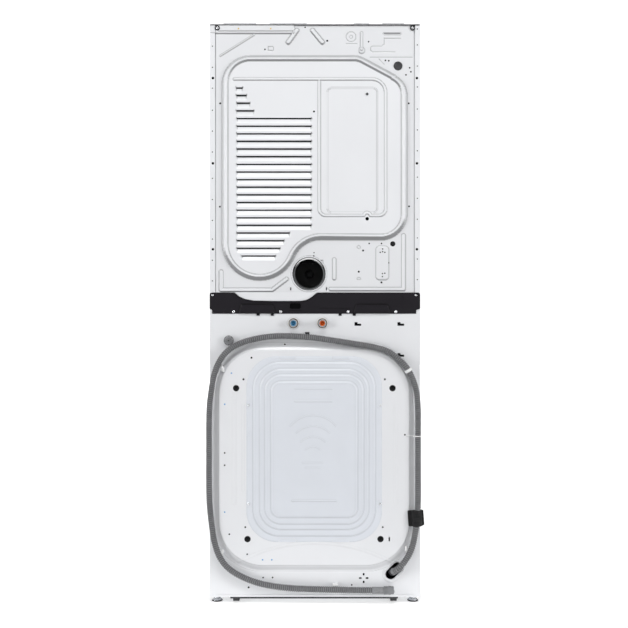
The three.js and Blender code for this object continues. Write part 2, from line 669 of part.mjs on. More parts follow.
place('blower_wheel', turned([
  [6.6, 150], [70, 150], [70, 178], [66, 178], [66, 154], [14, 154], [14, 166], [6.6, 166],
], MOTOR.x, MOTOR.z, 20), DARK_PLASTIC);

// Outline of a belt round the drum and the motor pulley, as two arcs and two straight runs
function beltOutline(bigR, smallR) {
  const dx = MOTOR.x;
  const dz = MOTOR.z - DRYER_AXIS;
  const down = Math.atan2(dz, dx);
  const spread = Math.acos((bigR - smallR) / Math.hypot(dx, dz));
  const shape = new THREE.Path();
  shape.absarc(0, DRYER_AXIS, bigR, down + spread, down - spread + 2 * Math.PI, false);
  shape.absarc(MOTOR.x, MOTOR.z, smallR, down - spread, down + spread, false);
  return shape.getPoints(12);
}

function drumBelt() {
  const thickness = 3;
  const outer = new THREE.Shape(beltOutline(DRUM_R + 2 + thickness, PULLEY_R + 1 + thickness));
  outer.holes.push(new THREE.Path(beltOutline(DRUM_R + 2, PULLEY_R + 1)));
  return sheetXZ(outer, -46, -32);
}
place('drum_belt', drumBelt(), BLACK_RUBBER);

// ---------------------------------------------------------------- doors
// A ring of channel section open at the back, with two knuckles and a finger notch
function doorFrame(axisZ) {
  let ring = turned([
    [152, -371], [170, -380], [214, -385], [DOOR_R, -372], [DOOR_R, -341.5], [231, -341.5],
    [231, -370], [213, -381.5], [172, -376.5], [156, -368.5], [156, -341.5], [152, -341.5],
  ], 0, axisZ, 24);
  for (const sign of [-1, 1]) {
    const near = axisZ + sign * 20;
    const far = axisZ + sign * 56;
    const [low, high] = [Math.min(near, far), Math.max(near, far)];
    ring = join(ring,
      rod('z', HINGE.x, HINGE.y, low, high, HINGE.knuckle, 20),
      block(HINGE.x, -DOOR_R + 12, HINGE.y - HINGE.knuckle, HINGE.y + HINGE.knuckle, low, high));
  }
  ring = cut(ring, rod('z', HINGE.x, HINGE.y, axisZ - 24, axisZ + 24, 3.6, 12));
  return cut(ring, block(222, 245, -366, -341, axisZ - 38, axisZ + 38));
}

place('washer_door_frame', doorFrame(WASHER_AXIS), CHROME);
place('dryer_door_frame', doorFrame(DRYER_AXIS), CHROME);

place('washer_door_glass', turned([
  [0, -292], [95, -294], [122, -302], [140, -320], [147, -345], [150, -364], [150.6, -364],
  [150.6, -369], [146, -369], [143, -345], [136, -322], [119, -306], [94, -298.5], [0, -296.5],
], 0, WASHER_AXIS, 20), GLASS);

place('dryer_door_glass', turned([
  [0, -350], [100, -348.5], [150.4, -345], [150.4, -350], [100, -353.5], [0, -355],
], 0, DRYER_AXIS), GLASS);

export default tower;
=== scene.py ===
# Looks of the stacked laundry tower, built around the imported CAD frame.
# Sizes below are millimetres in the frame's axes: +X to the right seen from the doors,
# +Y towards the service side, +Z up. Meshes are made in metres.
import json
import math
from functools import reduce
from itertools import product
import bpy
import numpy as np
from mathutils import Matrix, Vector


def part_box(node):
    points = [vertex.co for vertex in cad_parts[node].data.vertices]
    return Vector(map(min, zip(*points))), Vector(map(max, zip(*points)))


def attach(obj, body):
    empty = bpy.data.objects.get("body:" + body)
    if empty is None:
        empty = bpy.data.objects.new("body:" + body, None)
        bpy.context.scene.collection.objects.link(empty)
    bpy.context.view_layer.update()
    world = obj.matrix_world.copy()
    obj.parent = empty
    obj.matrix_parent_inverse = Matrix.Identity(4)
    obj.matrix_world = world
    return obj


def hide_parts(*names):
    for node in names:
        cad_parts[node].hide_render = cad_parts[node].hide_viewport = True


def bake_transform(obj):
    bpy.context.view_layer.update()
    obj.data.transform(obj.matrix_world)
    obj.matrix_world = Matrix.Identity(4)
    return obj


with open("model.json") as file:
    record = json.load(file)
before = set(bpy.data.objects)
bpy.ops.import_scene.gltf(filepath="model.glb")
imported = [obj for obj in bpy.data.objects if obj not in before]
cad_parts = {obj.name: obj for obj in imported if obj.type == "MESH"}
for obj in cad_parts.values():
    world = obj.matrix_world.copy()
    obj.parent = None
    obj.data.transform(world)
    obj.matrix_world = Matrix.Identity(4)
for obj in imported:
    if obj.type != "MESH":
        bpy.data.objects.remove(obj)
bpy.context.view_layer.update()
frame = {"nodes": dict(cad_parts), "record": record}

MM = 0.001


def box_mm(node):
    low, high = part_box(node)
    return np.array(low) / MM, np.array(high) / MM


# ------------------------------------------------------------------ camera
BACK_PLANE = 350.0
EYE_DISTANCE = 3000.0
FRAME_SPAN = 2047.0            # what the view spans at the back plane
EYE = (3.0, BACK_PLANE + EYE_DISTANCE, 943.0)


def make_camera():
    data = bpy.data.cameras.new("camera")
    data.sensor_width = 36.0
    data.sensor_fit = "HORIZONTAL"
    data.lens = data.sensor_width * EYE_DISTANCE / FRAME_SPAN
    data.clip_end = 50.0
    camera = bpy.data.objects.new("camera", data)
    camera.location = [v * MM for v in EYE]
    camera.rotation_euler = (math.pi / 2, 0.0, math.pi)
    bpy.context.collection.objects.link(camera)
    bpy.context.scene.camera = camera


make_camera()


# ------------------------------------------------------------------ materials
class Nodes:
    """A material's node tree with short ways to add and join nodes."""

    def __init__(self, name, base, rough, metal=0.0, coat=0.0, specular=0.5):
        self.material = bpy.data.materials.new(name)
        self.material.use_nodes = True
        self.tree = self.material.node_tree
        self.shader = self.tree.nodes["Principled BSDF"]
        self.shader.inputs["Base Color"].default_value = (*base, 1.0)
        self.shader.inputs["Roughness"].default_value = rough
        self.shader.inputs["Metallic"].default_value = metal
        self.shader.inputs["Coat Weight"].default_value = coat
        self.shader.inputs["Specular IOR Level"].default_value = specular
        self.place = self.add("ShaderNodeTexCoord").outputs["Object"]

    def add(self, kind, **values):
        node = self.tree.nodes.new(kind)
        for key, value in values.items():
            if key in node.inputs:
                node.inputs[key].default_value = value
            else:
                setattr(node, key, value)
        return node

    def link(self, a, b):
        self.tree.links.new(a, b)

    def noise(self, scale, detail=3.0, roughness=0.5, stretch=None):
        place = self.place
        if stretch:
            mapping = self.add("ShaderNodeMapping", Scale=stretch)
            self.link(place, mapping.inputs["Vector"])
            place = mapping.outputs["Vector"]
        node = self.add("ShaderNodeTexNoise", Scale=scale, Detail=detail, Roughness=roughness)
        self.link(place, node.inputs["Vector"])
        return node.outputs["Fac"]

    def ramp(self, source, low, high, a, b):
        limits = {"From Min": low, "From Max": high, "To Min": a, "To Max": b}
        node = self.add("ShaderNodeMapRange", **limits)
        self.link(source, node.inputs["Value"])
        return node.outputs["Result"]

    def mix(self, factor, a, b):
        node = self.add("ShaderNodeMix", data_type="RGBA")
        self.link(factor, node.inputs["Factor"])
        for socket, value in ((node.inputs[6], a), (node.inputs[7], b)):
            if isinstance(value, tuple):
                socket.default_value = (*value, 1.0)
            else:
                self.link(value, socket)
        return node.outputs[2]

    def between(self, source, low, high, a, b):
        """From one colour to the other as the source goes from low to high."""
        return self.mix(self.ramp(source, low, high, 0.0, 1.0), a, b)

    def with_painted_shade(self, tone, dark):
        """Painted shade: darkens the tone where the crease attribute says, in folds, steep or down-facing
        parts and grooves.
        """
        fold = self.add("ShaderNodeAttribute", attribute_name="crease")
        return self.between(fold.outputs["Fac"], 0.0, 1.0, tone, dark)

    def color(self, source):
        self.link(source, self.shader.inputs["Base Color"])

    def roughness(self, source, low, high, a, b):
        self.link(self.ramp(source, low, high, a, b), self.shader.inputs["Roughness"])

    def bump(self, source, strength, distance):
        node = self.add("ShaderNodeBump", Strength=strength, Distance=distance)
        self.link(source, node.inputs["Height"])
        normal = self.shader.inputs["Normal"]
        if normal.is_linked:
            self.link(normal.links[0].from_socket, node.inputs["Normal"])
        self.link(node.outputs["Normal"], normal)


def shade(color, factor):
    return tuple(min(1.0, c * factor) for c in color)


def coated(name, base, rough=0.38, peel=0.12, coat=0.6, specular=0.5):
    """Powder coat: fine orange peel and slight tint changes under a soft gloss."""
    m = Nodes(name, base, rough, coat=coat, specular=specular)
    m.shader.inputs["Coat Roughness"].default_value = 0.22
    cloud = m.noise(3.2, 4.0)
    tone = m.between(cloud, 0.3, 0.7, shade(base, 0.975), shade(base, 1.015))
    # Painted shade: the tone darkens towards 30% of the base where the crease attribute says a sheet folds,
    # stands steeply, faces down or lies low.
    m.color(m.with_painted_shade(tone, shade(base, 0.30)))
    m.roughness(m.noise(26.0, 5.0), 0.35, 0.65, rough * 0.88, rough * 1.14)
    m.bump(m.noise(850.0, 2.0), peel, 0.00025)
    m.bump(m.noise(9.0, 2.0), 0.10, 0.0008)
    return m.material


def moulded(name, base, rough=0.5, grain=900.0, strength=0.2, tone=0.05, metal=0.0):
    """Moulded plastic or rubber: fine grain and a soft change of tone."""
    m = Nodes(name, base, rough, metal)
    cloud = m.noise(14.0, 4.0)
    clean = m.between(cloud, 0.3, 0.7, shade(base, 1 - tone), shade(base, 1 + tone))
    # Painted shade: the tone darkens towards 40% of the base where the crease attribute says.
    m.color(m.with_painted_shade(clean, shade(base, 0.4)))
    m.roughness(m.noise(60.0, 3.0), 0.3, 0.7, rough * 0.85, min(1.0, rough * 1.15))
    m.bump(m.noise(grain, 2.0), strength, 0.0002)
    return m.material


def brushed(name, base, rough=0.28, stretch=(6.0, 900.0, 900.0), strength=0.1):
    m = Nodes(name, base, rough, 1.0)
    streak = m.noise(1.0, 4.0, 0.6, stretch)
    m.color(m.between(streak, 0.3, 0.7, shade(base, 0.9), shade(base, 1.06)))
    m.roughness(streak, 0.3, 0.7, rough * 0.8, rough * 1.35)
    m.bump(streak, strength, 0.0001)
    return m.material


def galvanised(name, base=(0.6, 0.62, 0.64)):
    """Zinc coat: angular spangles that differ in tone and gloss."""
    m = Nodes(name, base, 0.42, 0.85)
    cells = m.add("ShaderNodeTexVoronoi", Scale=90.0)
    m.link(m.place, cells.inputs["Vector"])
    tone = m.add("ShaderNodeSeparateColor")
    m.link(cells.outputs["Color"], tone.inputs["Color"])
    m.color(m.mix(tone.outputs["Red"], shade(base, 0.84), shade(base, 1.12)))
    m.roughness(tone.outputs["Green"], 0.0, 1.0, 0.3, 0.52)
    m.bump(m.noise(320.0, 3.0), 0.12, 0.0002)
    return m.material


def cast(name, base):
    m = Nodes(name, base, 0.75, 0.5)
    m.color(m.mix(m.noise(40.0, 6.0), shade(base, 0.75), shade(base, 1.25)))
    m.roughness(m.noise(120.0, 4.0), 0.3, 0.7, 0.6, 0.9)
    m.bump(m.noise(260.0, 5.0, 0.7), 0.6, 0.0008)
    return m.material


def glassy(name, tint, rough=0.02, transmission=1.0):
    m = Nodes(name, tint, rough)
    m.shader.inputs["Transmission Weight"].default_value = transmission
    m.shader.inputs["IOR"].default_value = 1.46
    m.roughness(m.noise(30.0, 3.0), 0.35, 0.7, rough, rough + 0.03)
    return m.material


def plated(name, base, rough=0.1):
    m = Nodes(name, base, rough, 1.0)
    m.roughness(m.noise(40.0, 4.0), 0.3, 0.7, rough * 0.7, rough * 1.6)
    m.bump(m.noise(400.0, 2.0), 0.04, 0.0001)
    return m.material


def hose_plastic(name, base):
    """Grey hose: a mottled moulding with fine paler flecks, and painted shade in its grooves."""
    m = Nodes(name, base, 0.62)
    cloud = m.noise(70.0, 4.0, 0.6)
    fine = m.noise(420.0, 3.0, 0.6)
    tone = m.between(cloud, 0.35, 0.65, shade(base, 0.82), shade(base, 1.16))
    flecked = m.mix(m.ramp(fine, 0.4, 0.62, 0.0, 0.5), tone, shade(base, 1.5))
    # Painted shade: the tone darkens towards 16% of the base in the grooves the crease attribute marks.
    m.color(m.with_painted_shade(flecked, shade(base, 0.16)))
    m.roughness(fine, 0.3, 0.7, 0.5, 0.72)
    m.bump(fine, 0.35, 0.0004)
    return m.material


WHITE = coated("white_paint", (0.775, 0.785, 0.808))
COVER = moulded("cool_white_plastic", (0.70, 0.728, 0.778), 0.36, 1100.0, 0.08, 0.012)
BLACK = coated("black_paint", (0.0125, 0.011, 0.0145), 0.5, 0.25, 0.04, 0.16)
ZINC = galvanised("galvanised")
STEEL = brushed("stainless", (0.66, 0.67, 0.69))
BRIGHT = plated("zinc_steel", (0.74, 0.75, 0.77), 0.2)
CHROME = plated("chrome", (0.66, 0.67, 0.69), 0.09)
HOSE = hose_plastic("hose_grey", (0.205, 0.208, 0.216))
GREY = moulded("grey_plastic", (0.21, 0.215, 0.225), 0.6)
DARK = moulded("dark_plastic", (0.032, 0.033, 0.037), 0.5)
GLOSS_WHITE = moulded("white_plastic", (0.80, 0.805, 0.81), 0.28, 1200.0, 0.05, 0.01)
TUB = moulded("tub_plastic", (0.6, 0.6, 0.585), 0.6)
GASKET = moulded("grey_rubber", (0.12, 0.122, 0.128), 0.72, 700.0, 0.3)
RUBBER = moulded("black_rubber", (0.008, 0.008, 0.009), 0.85, 500.0, 0.4)
CAST = cast("cast_metal", (0.16, 0.165, 0.17))
GLASS = glassy("door_glass", (0.93, 0.95, 0.96))
SMOKE = glassy("smoked_glass", (0.045, 0.05, 0.058), 0.015, 0.9)
COPPER = brushed("copper_steel", (0.5, 0.27, 0.13), 0.4, (300.0, 40.0, 300.0), 0.6)
BRASS = plated("brass_dot", (0.80, 0.58, 0.20), 0.3)
DULL_BRASS = plated("dull_brass", (0.42, 0.36, 0.26), 0.4)
BLUE = moulded("blue_plastic", (0.09, 0.30, 0.50), 0.4)
ORANGE = moulded("orange_plastic", (0.70, 0.15, 0.02), 0.4)
PALE_BLUE = moulded("blue_dot", (0.10, 0.33, 0.62), 0.4)
HOLE = coated("hole_shadow", (0.003, 0.003, 0.0035), 0.95, 0.02, 0.0, 0.05)
PANEL_GLASS = coated("panel_glass", (0.012, 0.012, 0.014), 0.12, 0.02)
BY_SLOT = {
    "white_paint": WHITE, "cool_white_plastic": COVER, "white_plastic": GLOSS_WHITE, "tub_plastic": TUB,
    "black_paint": BLACK, "galvanised": ZINC, "stainless": STEEL, "grey_plastic": GREY, "dark_plastic": DARK,
    "grey_rubber": GASKET, "black_rubber": RUBBER, "cast_metal": CAST, "door_glass": GLASS,
    "copper_steel": COPPER, "chrome": CHROME, "zinc_steel": BRIGHT,
}


def finish_cad_nodes():
    """Every CAD node that stays in view gets its slot's finish and softened edges."""
    for part in frame["record"]["subparts"]:
        node = frame["nodes"][part["node"]]
        node.data.materials.clear()
        node.data.materials.append(BY_SLOT[part["material_slot"]])
        edge = node.modifiers.new("soft_edges", "BEVEL")
        edge.width = 0.8 * MM
        edge.segments = 2
        edge.limit_method = "ANGLE"
        edge.angle_limit = math.radians(40)
        edge.harden_normals = False
        node.data.polygons.foreach_set("use_smooth", [True] * len(node.data.polygons))
        node.data.set_sharp_from_angle(angle=math.radians(35))


finish_cad_nodes()


# ------------------------------------------------------------------ mesh tools
def build(name, verts, faces, material, body="cabinet", smooth=True, crease=None, stands_for=None,
          slot=None):
    """Makes a piece from millimetre points, rides it on a body and hides the CAD part it stands for."""
    mesh = bpy.data.meshes.new(name)
    points = np.asarray(verts, float) * MM
    mesh.from_pydata(points.tolist(), [], [tuple(int(i) for i in f) for f in faces])
    mesh.update()
    mesh.polygons.foreach_set("use_smooth", [smooth] * len(mesh.polygons))
    if crease is not None:
        mesh.set_sharp_from_angle(angle=math.radians(crease))
    piece = bpy.data.objects.new(name, mesh)
    bpy.context.collection.objects.link(piece)
    mesh.materials.append(material)
    if body:
        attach(piece, body)
    if stands_for:
        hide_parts(stands_for)
    return piece


def store_painted_shade(piece, values):
    """Keeps on each point how much painted shade the piece's material lays there."""
    layer = piece.data.attributes.new("crease", "FLOAT", "POINT")
    layer.data.foreach_set("value", np.asarray(values, np.float32))


class Shape:
    """Collects several solids for one piece."""

    def __init__(self):
        self.verts, self.faces = [], []

    def put(self, verts, faces):
        first = sum(len(v) for v in self.verts)
        self.verts.append(np.asarray(verts, float))
        self.faces.extend([tuple(first + i for i in f) for f in faces])
        return self

    def turn(self, *profile_and_place, **options):
        return self.put(*turned(*profile_and_place, **options))

    def block(self, *limits):
        return self.put(*cuboid(*limits))

    def sweep(self, path, section):
        return self.put(*swept(path, section))

    def piece(self, name, material, body="cabinet", **options):
        return build(name, np.vstack(self.verts), self.faces, material, body, **options)


def outward(verts, faces):
    """Turns all the faces over if the closed shape is inside out."""
    verts = np.array(verts, float)
    volume = sum(float(np.dot(verts[f[0]], np.cross(verts[f[i]], verts[f[i + 1]])))
                 for f in faces for i in range(1, len(f) - 1))
    return verts, [tuple(reversed(f)) for f in faces] if volume < 0 else faces


AXES = {
    "y": lambda r, c, s, h: (r * s, h, r * c),
    "x": lambda r, c, s, h: (h, r * c, r * s),
    "z": lambda r, c, s, h: (r * c, r * s, h),
}
ON_AXIS = 1e-6


def turned(profile, centre, axis="y", sides=48, waves=0):
    """Verts and faces of [radius, height] pairs turned about an axis through centre.
    A profile that begins and ends off the axis closes on itself. A third value is how far
    that ring waves in and out."""
    place, centre = AXES[axis], np.asarray(centre, float)
    verts, rings = [], []
    for radius, height, *wave in profile:
        start = len(verts)
        if radius < ON_AXIS:
            verts.append(centre + place(0.0, 0.0, 0.0, height))
            rings.append([start] * sides)
            continue
        for k in range(sides):
            angle = 2 * math.pi * k / sides
            reach = radius + (wave[0] * math.cos(waves * angle) if wave else 0.0)
            verts.append(centre + place(reach, math.cos(angle), math.sin(angle), height))
        rings.append(list(range(start, start + sides)))
    if profile[0][0] > ON_AXIS and profile[-1][0] > ON_AXIS:
        rings.append(rings[0])
    faces = []
    for a, b in zip(rings, rings[1:]):
        for k in range(sides):
            n = (k + 1) % sides
            faces.append(tuple(dict.fromkeys((a[k], a[n], b[n], b[k]))))
    return outward(verts, [f for f in faces if len(f) > 2])


def loft(rings, closed=False):
    """A skin through rings of as many points each, capped unless it closes on itself."""
    sides, count = len(rings[0]), len(rings)
    faces = []
    for k in range(count if closed else count - 1):
        a, b = k * sides, (k + 1) % count * sides
        faces += [(a + i, a + (i + 1) % sides, b + (i + 1) % sides, b + i) for i in range(sides)]
    if not closed:
        faces += [tuple(range(sides))[::-1], tuple(range((count - 1) * sides, count * sides))]
    return outward(np.vstack(rings), faces)


def swept(path, section):
    """A capped tube: section(k) gives [across, up] points round path point k."""
    path = np.asarray(path, float)
    tangent = np.gradient(path, axis=0)
    tangent /= np.linalg.norm(tangent, axis=1)[:, None]
    side = np.cross(tangent[0], (0.0, 1.0, 0.0))
    if np.linalg.norm(side) < 1e-3:
        side = np.cross(tangent[0], (1.0, 0.0, 0.0))
    rings = []
    for k, (point, ahead) in enumerate(zip(path, tangent)):
        side = side - ahead * np.dot(side, ahead)
        side /= np.linalg.norm(side)
        up = np.cross(side, ahead)
        rings.append([point + side * across + up * high for across, high in section(k)])
    return loft(rings)


def circle(radius, sides):
    return [(radius * math.cos(2 * math.pi * i / sides), radius * math.sin(2 * math.pi * i / sides))
            for i in range(sides)]


def cuboid(x0, x1, y0, y1, z0, z1, bevel=0.0):
    """A block with cut edges, so that it catches light along them."""
    bevel = bevel or 0.001
    low, high = np.array([x0, y0, z0], float), np.array([x1, y1, z1], float)
    signs = np.array(list(product((0, 1), repeat=3)), bool)
    corners = np.where(signs, high, low)
    verts = np.repeat(np.where(signs, high - bevel, low + bevel), 3, 0)
    for axis in range(3):
        verts[axis::3, axis] = corners[:, axis]
    index = np.arange(24).reshape(2, 2, 2, 3)
    faces = []
    for axis, u, v in ((0, 1, 2), (1, 0, 2), (2, 0, 1)):
        at = np.moveaxis(index, axis, 0)
        faces += [[at[side, su, sv, axis] for su, sv in ((0, 0), (1, 0), (1, 1), (0, 1))]
                  for side in (0, 1)]
        faces += [[at[0, su, sv, u], at[1, su, sv, u], at[1, su, sv, v], at[0, su, sv, v]]
                  for su, sv in product((0, 1), repeat=2)]
    faces += index.reshape(8, 3).tolist()
    middle = (low + high) / 2
    for k, face in enumerate(faces):
        a, b, c = verts[face[:3]]
        if np.dot(np.cross(b - a, c - a), verts[face].mean(0) - middle) < 0:
            faces[k] = face[::-1]
    return verts, faces


# ------------------------------------------------------------------ distances in X and Z
def disc(x, z, radius):
    return lambda X, Z: np.hypot(X - x, Z - z) - radius


def round_box(x0, x1, z0, z1, radius):
    cx, cz = (x0 + x1) / 2, (z0 + z1) / 2
    hx, hz = (x1 - x0) / 2 - radius, (z1 - z0) / 2 - radius

    def distance(X, Z):
        qx, qz = np.abs(X - cx) - hx, np.abs(Z - cz) - hz
        outside = np.hypot(np.maximum(qx, 0), np.maximum(qz, 0))
        return outside + np.minimum(np.maximum(qx, qz), 0) - radius
    return distance


def from_run(X, Z, start, end):
    """Distance to one straight run."""
    (ax, az), (bx, bz) = start, end
    dx, dz = bx - ax, bz - az
    t = np.clip(((X - ax) * dx + (Z - az) * dz) / max(dx * dx + dz * dz, 1e-9), 0, 1)
    return np.hypot(X - ax - t * dx, Z - az - t * dz)


def line(points, width=0.0):
    """Distance to a chain of straight runs, less half its width."""
    runs = list(zip(points, points[1:]))
    return lambda X, Z: reduce(np.minimum, (from_run(X, Z, *run) for run in runs)) - width / 2


def loop(points):
    """Signed distance to a closed outline, negative inside."""
    ring = points + [points[0]]
    outline = line(ring)

    def distance(X, Z):
        inside = np.zeros(X.shape, bool)
        for (ax, az), (bx, bz) in zip(ring, ring[1:]):
            if az != bz:
                at = ax + (Z - az) * (bx - ax) / (bz - az)
                inside ^= ((az > Z) != (bz > Z)) & (X < at)
        best = outline(X, Z)
        return np.where(inside, -best, best)
    return distance


def smooth(t):
    t = np.clip(t, 0.0, 1.0)
    return t * t * (3 - 2 * t)


def arc(x, z, radius, start, end, steps=12):
    return [(x + radius * math.cos(math.radians(start + (end - start) * k / steps)),
             z + radius * math.sin(math.radians(start + (end - start) * k / steps)))
            for k in range(steps + 1)]


def pressed(distance, height, slope=2.4):
    """A flat area lifted or sunk with a steep edge and a thin groove round it."""
    def lift(X, Z):
        d = distance(X, Z)
        groove = 0.7 * smooth(1 - np.abs(d - slope - 1.2) / 2.0)
        return height * smooth(1 - d / slope) - groove
    return lift


def ridge(points, width, height, slope=2.4):
    """A flat-topped rib along a chain of points."""
    return pressed(line(points, width), height, slope)


def bead(distance, half, height):
    """A round-topped ridge along the zero of a distance."""
    return lambda X, Z: height * smooth(1 - np.abs(distance(X, Z)) / half)


def plateau(distance, slope, height):
    """Full height inside the outline, falling to nothing over slope outside it."""
    return lambda X, Z: height * smooth(1 - distance(X, Z) / slope)


# How dark painted shade gets in inward folds and on steep walls, and the darkest it may be.
FOLD_SHADE, STEEP_SHADE, DARKEST_SHADE = 0.62, 0.20, 0.94


def painted_shade_map(Y, step, face, share, under, low):
    """Painted shade from 0 to 1 at each point of a pressed sheet: darker where it folds inwards sharply,
    where it stands steeply, where it faces down, and where it lies low among what stands out round it."""
    P = np.pad(Y, 1, mode="edge")
    above, below = P[2:, 1:-1], P[:-2, 1:-1]
    bend = above + below + P[1:-1, 2:] + P[1:-1, :-2] - 4 * Y
    down = (above - below) / (2 * step)
    fold = smooth((bend * (2.1 / step) - 0.05) / 1.5)
    dark = share * (FOLD_SHADE * fold + STEEP_SHADE * smooth((np.abs(down) - 0.62) / 0.6))
    dark = dark + low * smooth(1 - (Y - face) / 7.0)
    return np.clip(dark + under * smooth((down - 0.12) / 0.6), 0, DARKEST_SHADE)


def fit_to_holes(X, Z, holes, step):
    """Moves grid points onto the holes' edges near them; true where a point is in no hole."""
    def gap(px, pz):
        return reduce(np.minimum, (hole(px, pz) for hole in holes))

    D, e = gap(X, Z), 0.05
    for _ in range(2):
        near = np.abs(D) < 0.7 * step
        px, pz = X[near], Z[near]
        gx = (gap(px + e, pz) - gap(px - e, pz)) / (2 * e)
        gz = (gap(px, pz + e) - gap(px, pz - e)) / (2 * e)
        size = np.maximum(np.hypot(gx, gz), 0.3)
        X[near] -= D[near] * gx / size
        Z[near] -= D[near] * gz / size
        D = gap(X, Z)
    return D > 0.08


def relief(name, xs, zs, face_y, heights, holes, material, lip=3.0, share=1.0, under=0.0, low=0.0,
           **options):
    """A pressed sheet seen from +Y: a fine grid lifted by the heights and cut by the holes."""
    X, Z = np.meshgrid(xs, zs)
    step = float(np.median(np.diff(xs)))
    keep = np.ones((len(zs) - 1, len(xs) - 1), bool)
    if holes:
        outside = fit_to_holes(X, Z, holes, step)
        keep = outside[:-1, :-1] | outside[1:, :-1] | outside[:-1, 1:] | outside[1:, 1:]
    Y = np.full(X.shape, float(face_y))
    for height in heights:
        Y += height(X, Z)
    row, column = np.nonzero(keep)
    a = row * len(xs) + column
    b = a + len(xs)
    quads = np.stack([a, b, b + 1, a + 1], 1)
    edges = np.concatenate([quads[:, [k, (k + 1) % 4]] for k in range(4)])
    _, where, count = np.unique(np.sort(edges, 1), axis=0, return_index=True, return_counts=True)
    border = edges[where[count == 1]]
    verts = np.stack([X.ravel(), Y.ravel(), Z.ravel()], 1)
    rim = np.unique(border)
    twin = np.full(len(verts), -1)
    twin[rim] = len(verts) + np.arange(len(rim))
    verts = np.vstack([verts, verts[rim] - (0, lip, 0)])
    walls = np.stack([border[:, 1], border[:, 0], twin[border[:, 0]], twin[border[:, 1]]], 1)
    faces = np.concatenate([quads, walls])
    used = np.unique(faces)
    renumber = np.full(len(verts), -1)
    renumber[used] = np.arange(len(used))
    piece = build(name, verts[used], renumber[faces], material, crease=42, **options)
    # Painted shade, kept in the crease attribute: share scales it in folds and on steep walls, under on
    # down-facing slopes, low in low-lying parts.
    crease = painted_shade_map(Y, step, face_y, share, under, low).ravel()
    store_painted_shade(piece, np.concatenate([crease, crease[rim]])[used])


def reliefs(name, xs, zs, split, *rest, **options):
    """The same sheet made as two pieces, so that neither has too many faces."""
    cut = int(np.argmin(np.abs(zs - split)))
    relief(name + "_low", xs, zs[:cut + 1], *rest, **options)
    relief(name + "_high", xs, zs[cut:], *rest, **options)


def lines_between(low, high, step, exact=()):
    """Grid lines that run evenly and also pass through the exact values."""
    even = np.linspace(low, high, int(round((high - low) / step)) + 1)
    if not len(exact):
        return even
    exact = np.unique(np.asarray(exact, float))
    far = np.min(np.abs(even[:, None] - exact[None, :]), 1) > step * 0.42
    far[0] = far[-1] = True
    return np.sort(np.concatenate([even[far], exact[(exact > low + 0.5) & (exact < high - 0.5)]]))


# ------------------------------------------------------------------ small hardware
def pan_head(shape, x, z, y, radius, height):
    """A pan-head screw with a cross recess, its head standing out to +Y."""
    profile = [(0, y - 1), (radius, y - 1), (radius, y + 0.25 * height), (radius * 0.86, y + 0.72 * height),
               (radius * 0.55, y + height), (radius * 0.3, y + height * 1.02),
               (radius * 0.22, y + height * 0.55), (0, y + height * 0.5)]
    shape.turn(profile, (x, 0, z), "y", 20)


def washer_ring(shape, x, z, y, radius, inner, height):
    profile = [(inner, y - 0.5), (radius, y - 0.5), (radius, y + height * 0.6), (radius - 0.6, y + height),
               (inner + 0.4, y + height), (inner, y + height * 0.6)]
    shape.turn(profile, (x, 0, z), "y", 24)


def hole_shadow_disc(shape, x, z, y, radius, depth=4.0):
    """A dark disc of painted shade, standing for the inside of a small hole, just above the sheet."""
    radius *= 1.25
    profile = [(0, y + 0.12), (radius * 0.92, y + 0.12), (radius, y + 0.02), (radius, y - depth),
               (0, y - depth)]
    shape.turn(profile, (x, 0, z), "y", 14)


# ------------------------------------------------------------------ dryer back
SHEET_GAP = 1.8
GRID = 2.1
DRYER_FACE = BACK_PLANE - SHEET_GAP
DUCT_X, DUCT_Z, DUCT_HOLE = 19.4, 1074.0, 54.0
DOME_HEIGHT, DOME_SLOPE, DOME_RIM = 12.5, 12.0, 5.4
SLIT_TOP, SLIT_PITCH, SLIT_GAP, SLIT_FACE = 1681.0, 24.87, 3.2, 14.0
# Where each slit of the louvre begins and ends, from the top one down.
SLIT_ENDS = ([(235, 257), (222, 256), (211, 255), (198, 256)] + [(11, 255)] * 15
             + [(82, 255), (100, 255), (113, 255), (128, 239)])
SCORE = 2.2                                  # half the width of a scored line
# [x, z, radius] of the small holes in the sheet; those on the raised pad lie higher.
DRYER_HOLES = (
    (-40, 1834, 2.6), (-230, 1770, 2.2), (-241, 1769, 2.2), (-309, 1746, 2.2), (-313, 1733, 2.2),
    (-297, 1723, 2.2), (-157, 1150, 2.6), (-143, 1081, 2.6), (-177, 1173, 2.0), (-217, 1173, 2.0),
    (-221, 1155, 1.8), (-213, 1144, 1.8), (-221, 1146, 1.8), (-228, 1144, 1.8), (-220, 1075, 1.8),
    (-228, 1076, 1.8), (-220, 1065, 1.8), (-240, 1110, 2.2), (-217, 1046, 2.4), (4, 1132, 2.2),
    (3, 1143, 1.6), (-21, 1115, 2.2), (-175, 1831, 2.0), (-157, 1806, 2.2), (32, 1878, 1.8),
    (163, 1806, 2.2), (309, 1630, 2.6), (310, 1293, 2.4), (-306, 1630, 2.4), (-307, 1294, 2.4))


def dome_outline():
    """The dome's crest: a lobe beside the duct, a concave sweep over it, and a cut corner."""
    lobe, duct = (180.0, 1175.0, 110.0), (-20.0, 1090.0)
    apart = math.hypot(lobe[0] - duct[0], lobe[1] - duct[1])
    meet = math.degrees(math.atan2(lobe[1] - duct[1], lobe[0] - duct[0]))
    outline = arc(210, 1693, 80, 0, 90, 14)
    outline += arc(-126, 1713, 60, 90, 116, 6)
    outline += [(-255, 1712)] + arc(-226, 1655, 62, 115, 178, 10)
    outline += arc(-214, 1270, 74, 180, 270, 14)
    outline += arc(*duct, apart - lobe[2], 90, meet, 14)
    outline += arc(*lobe, meet - 180, 0, 24)
    return outline


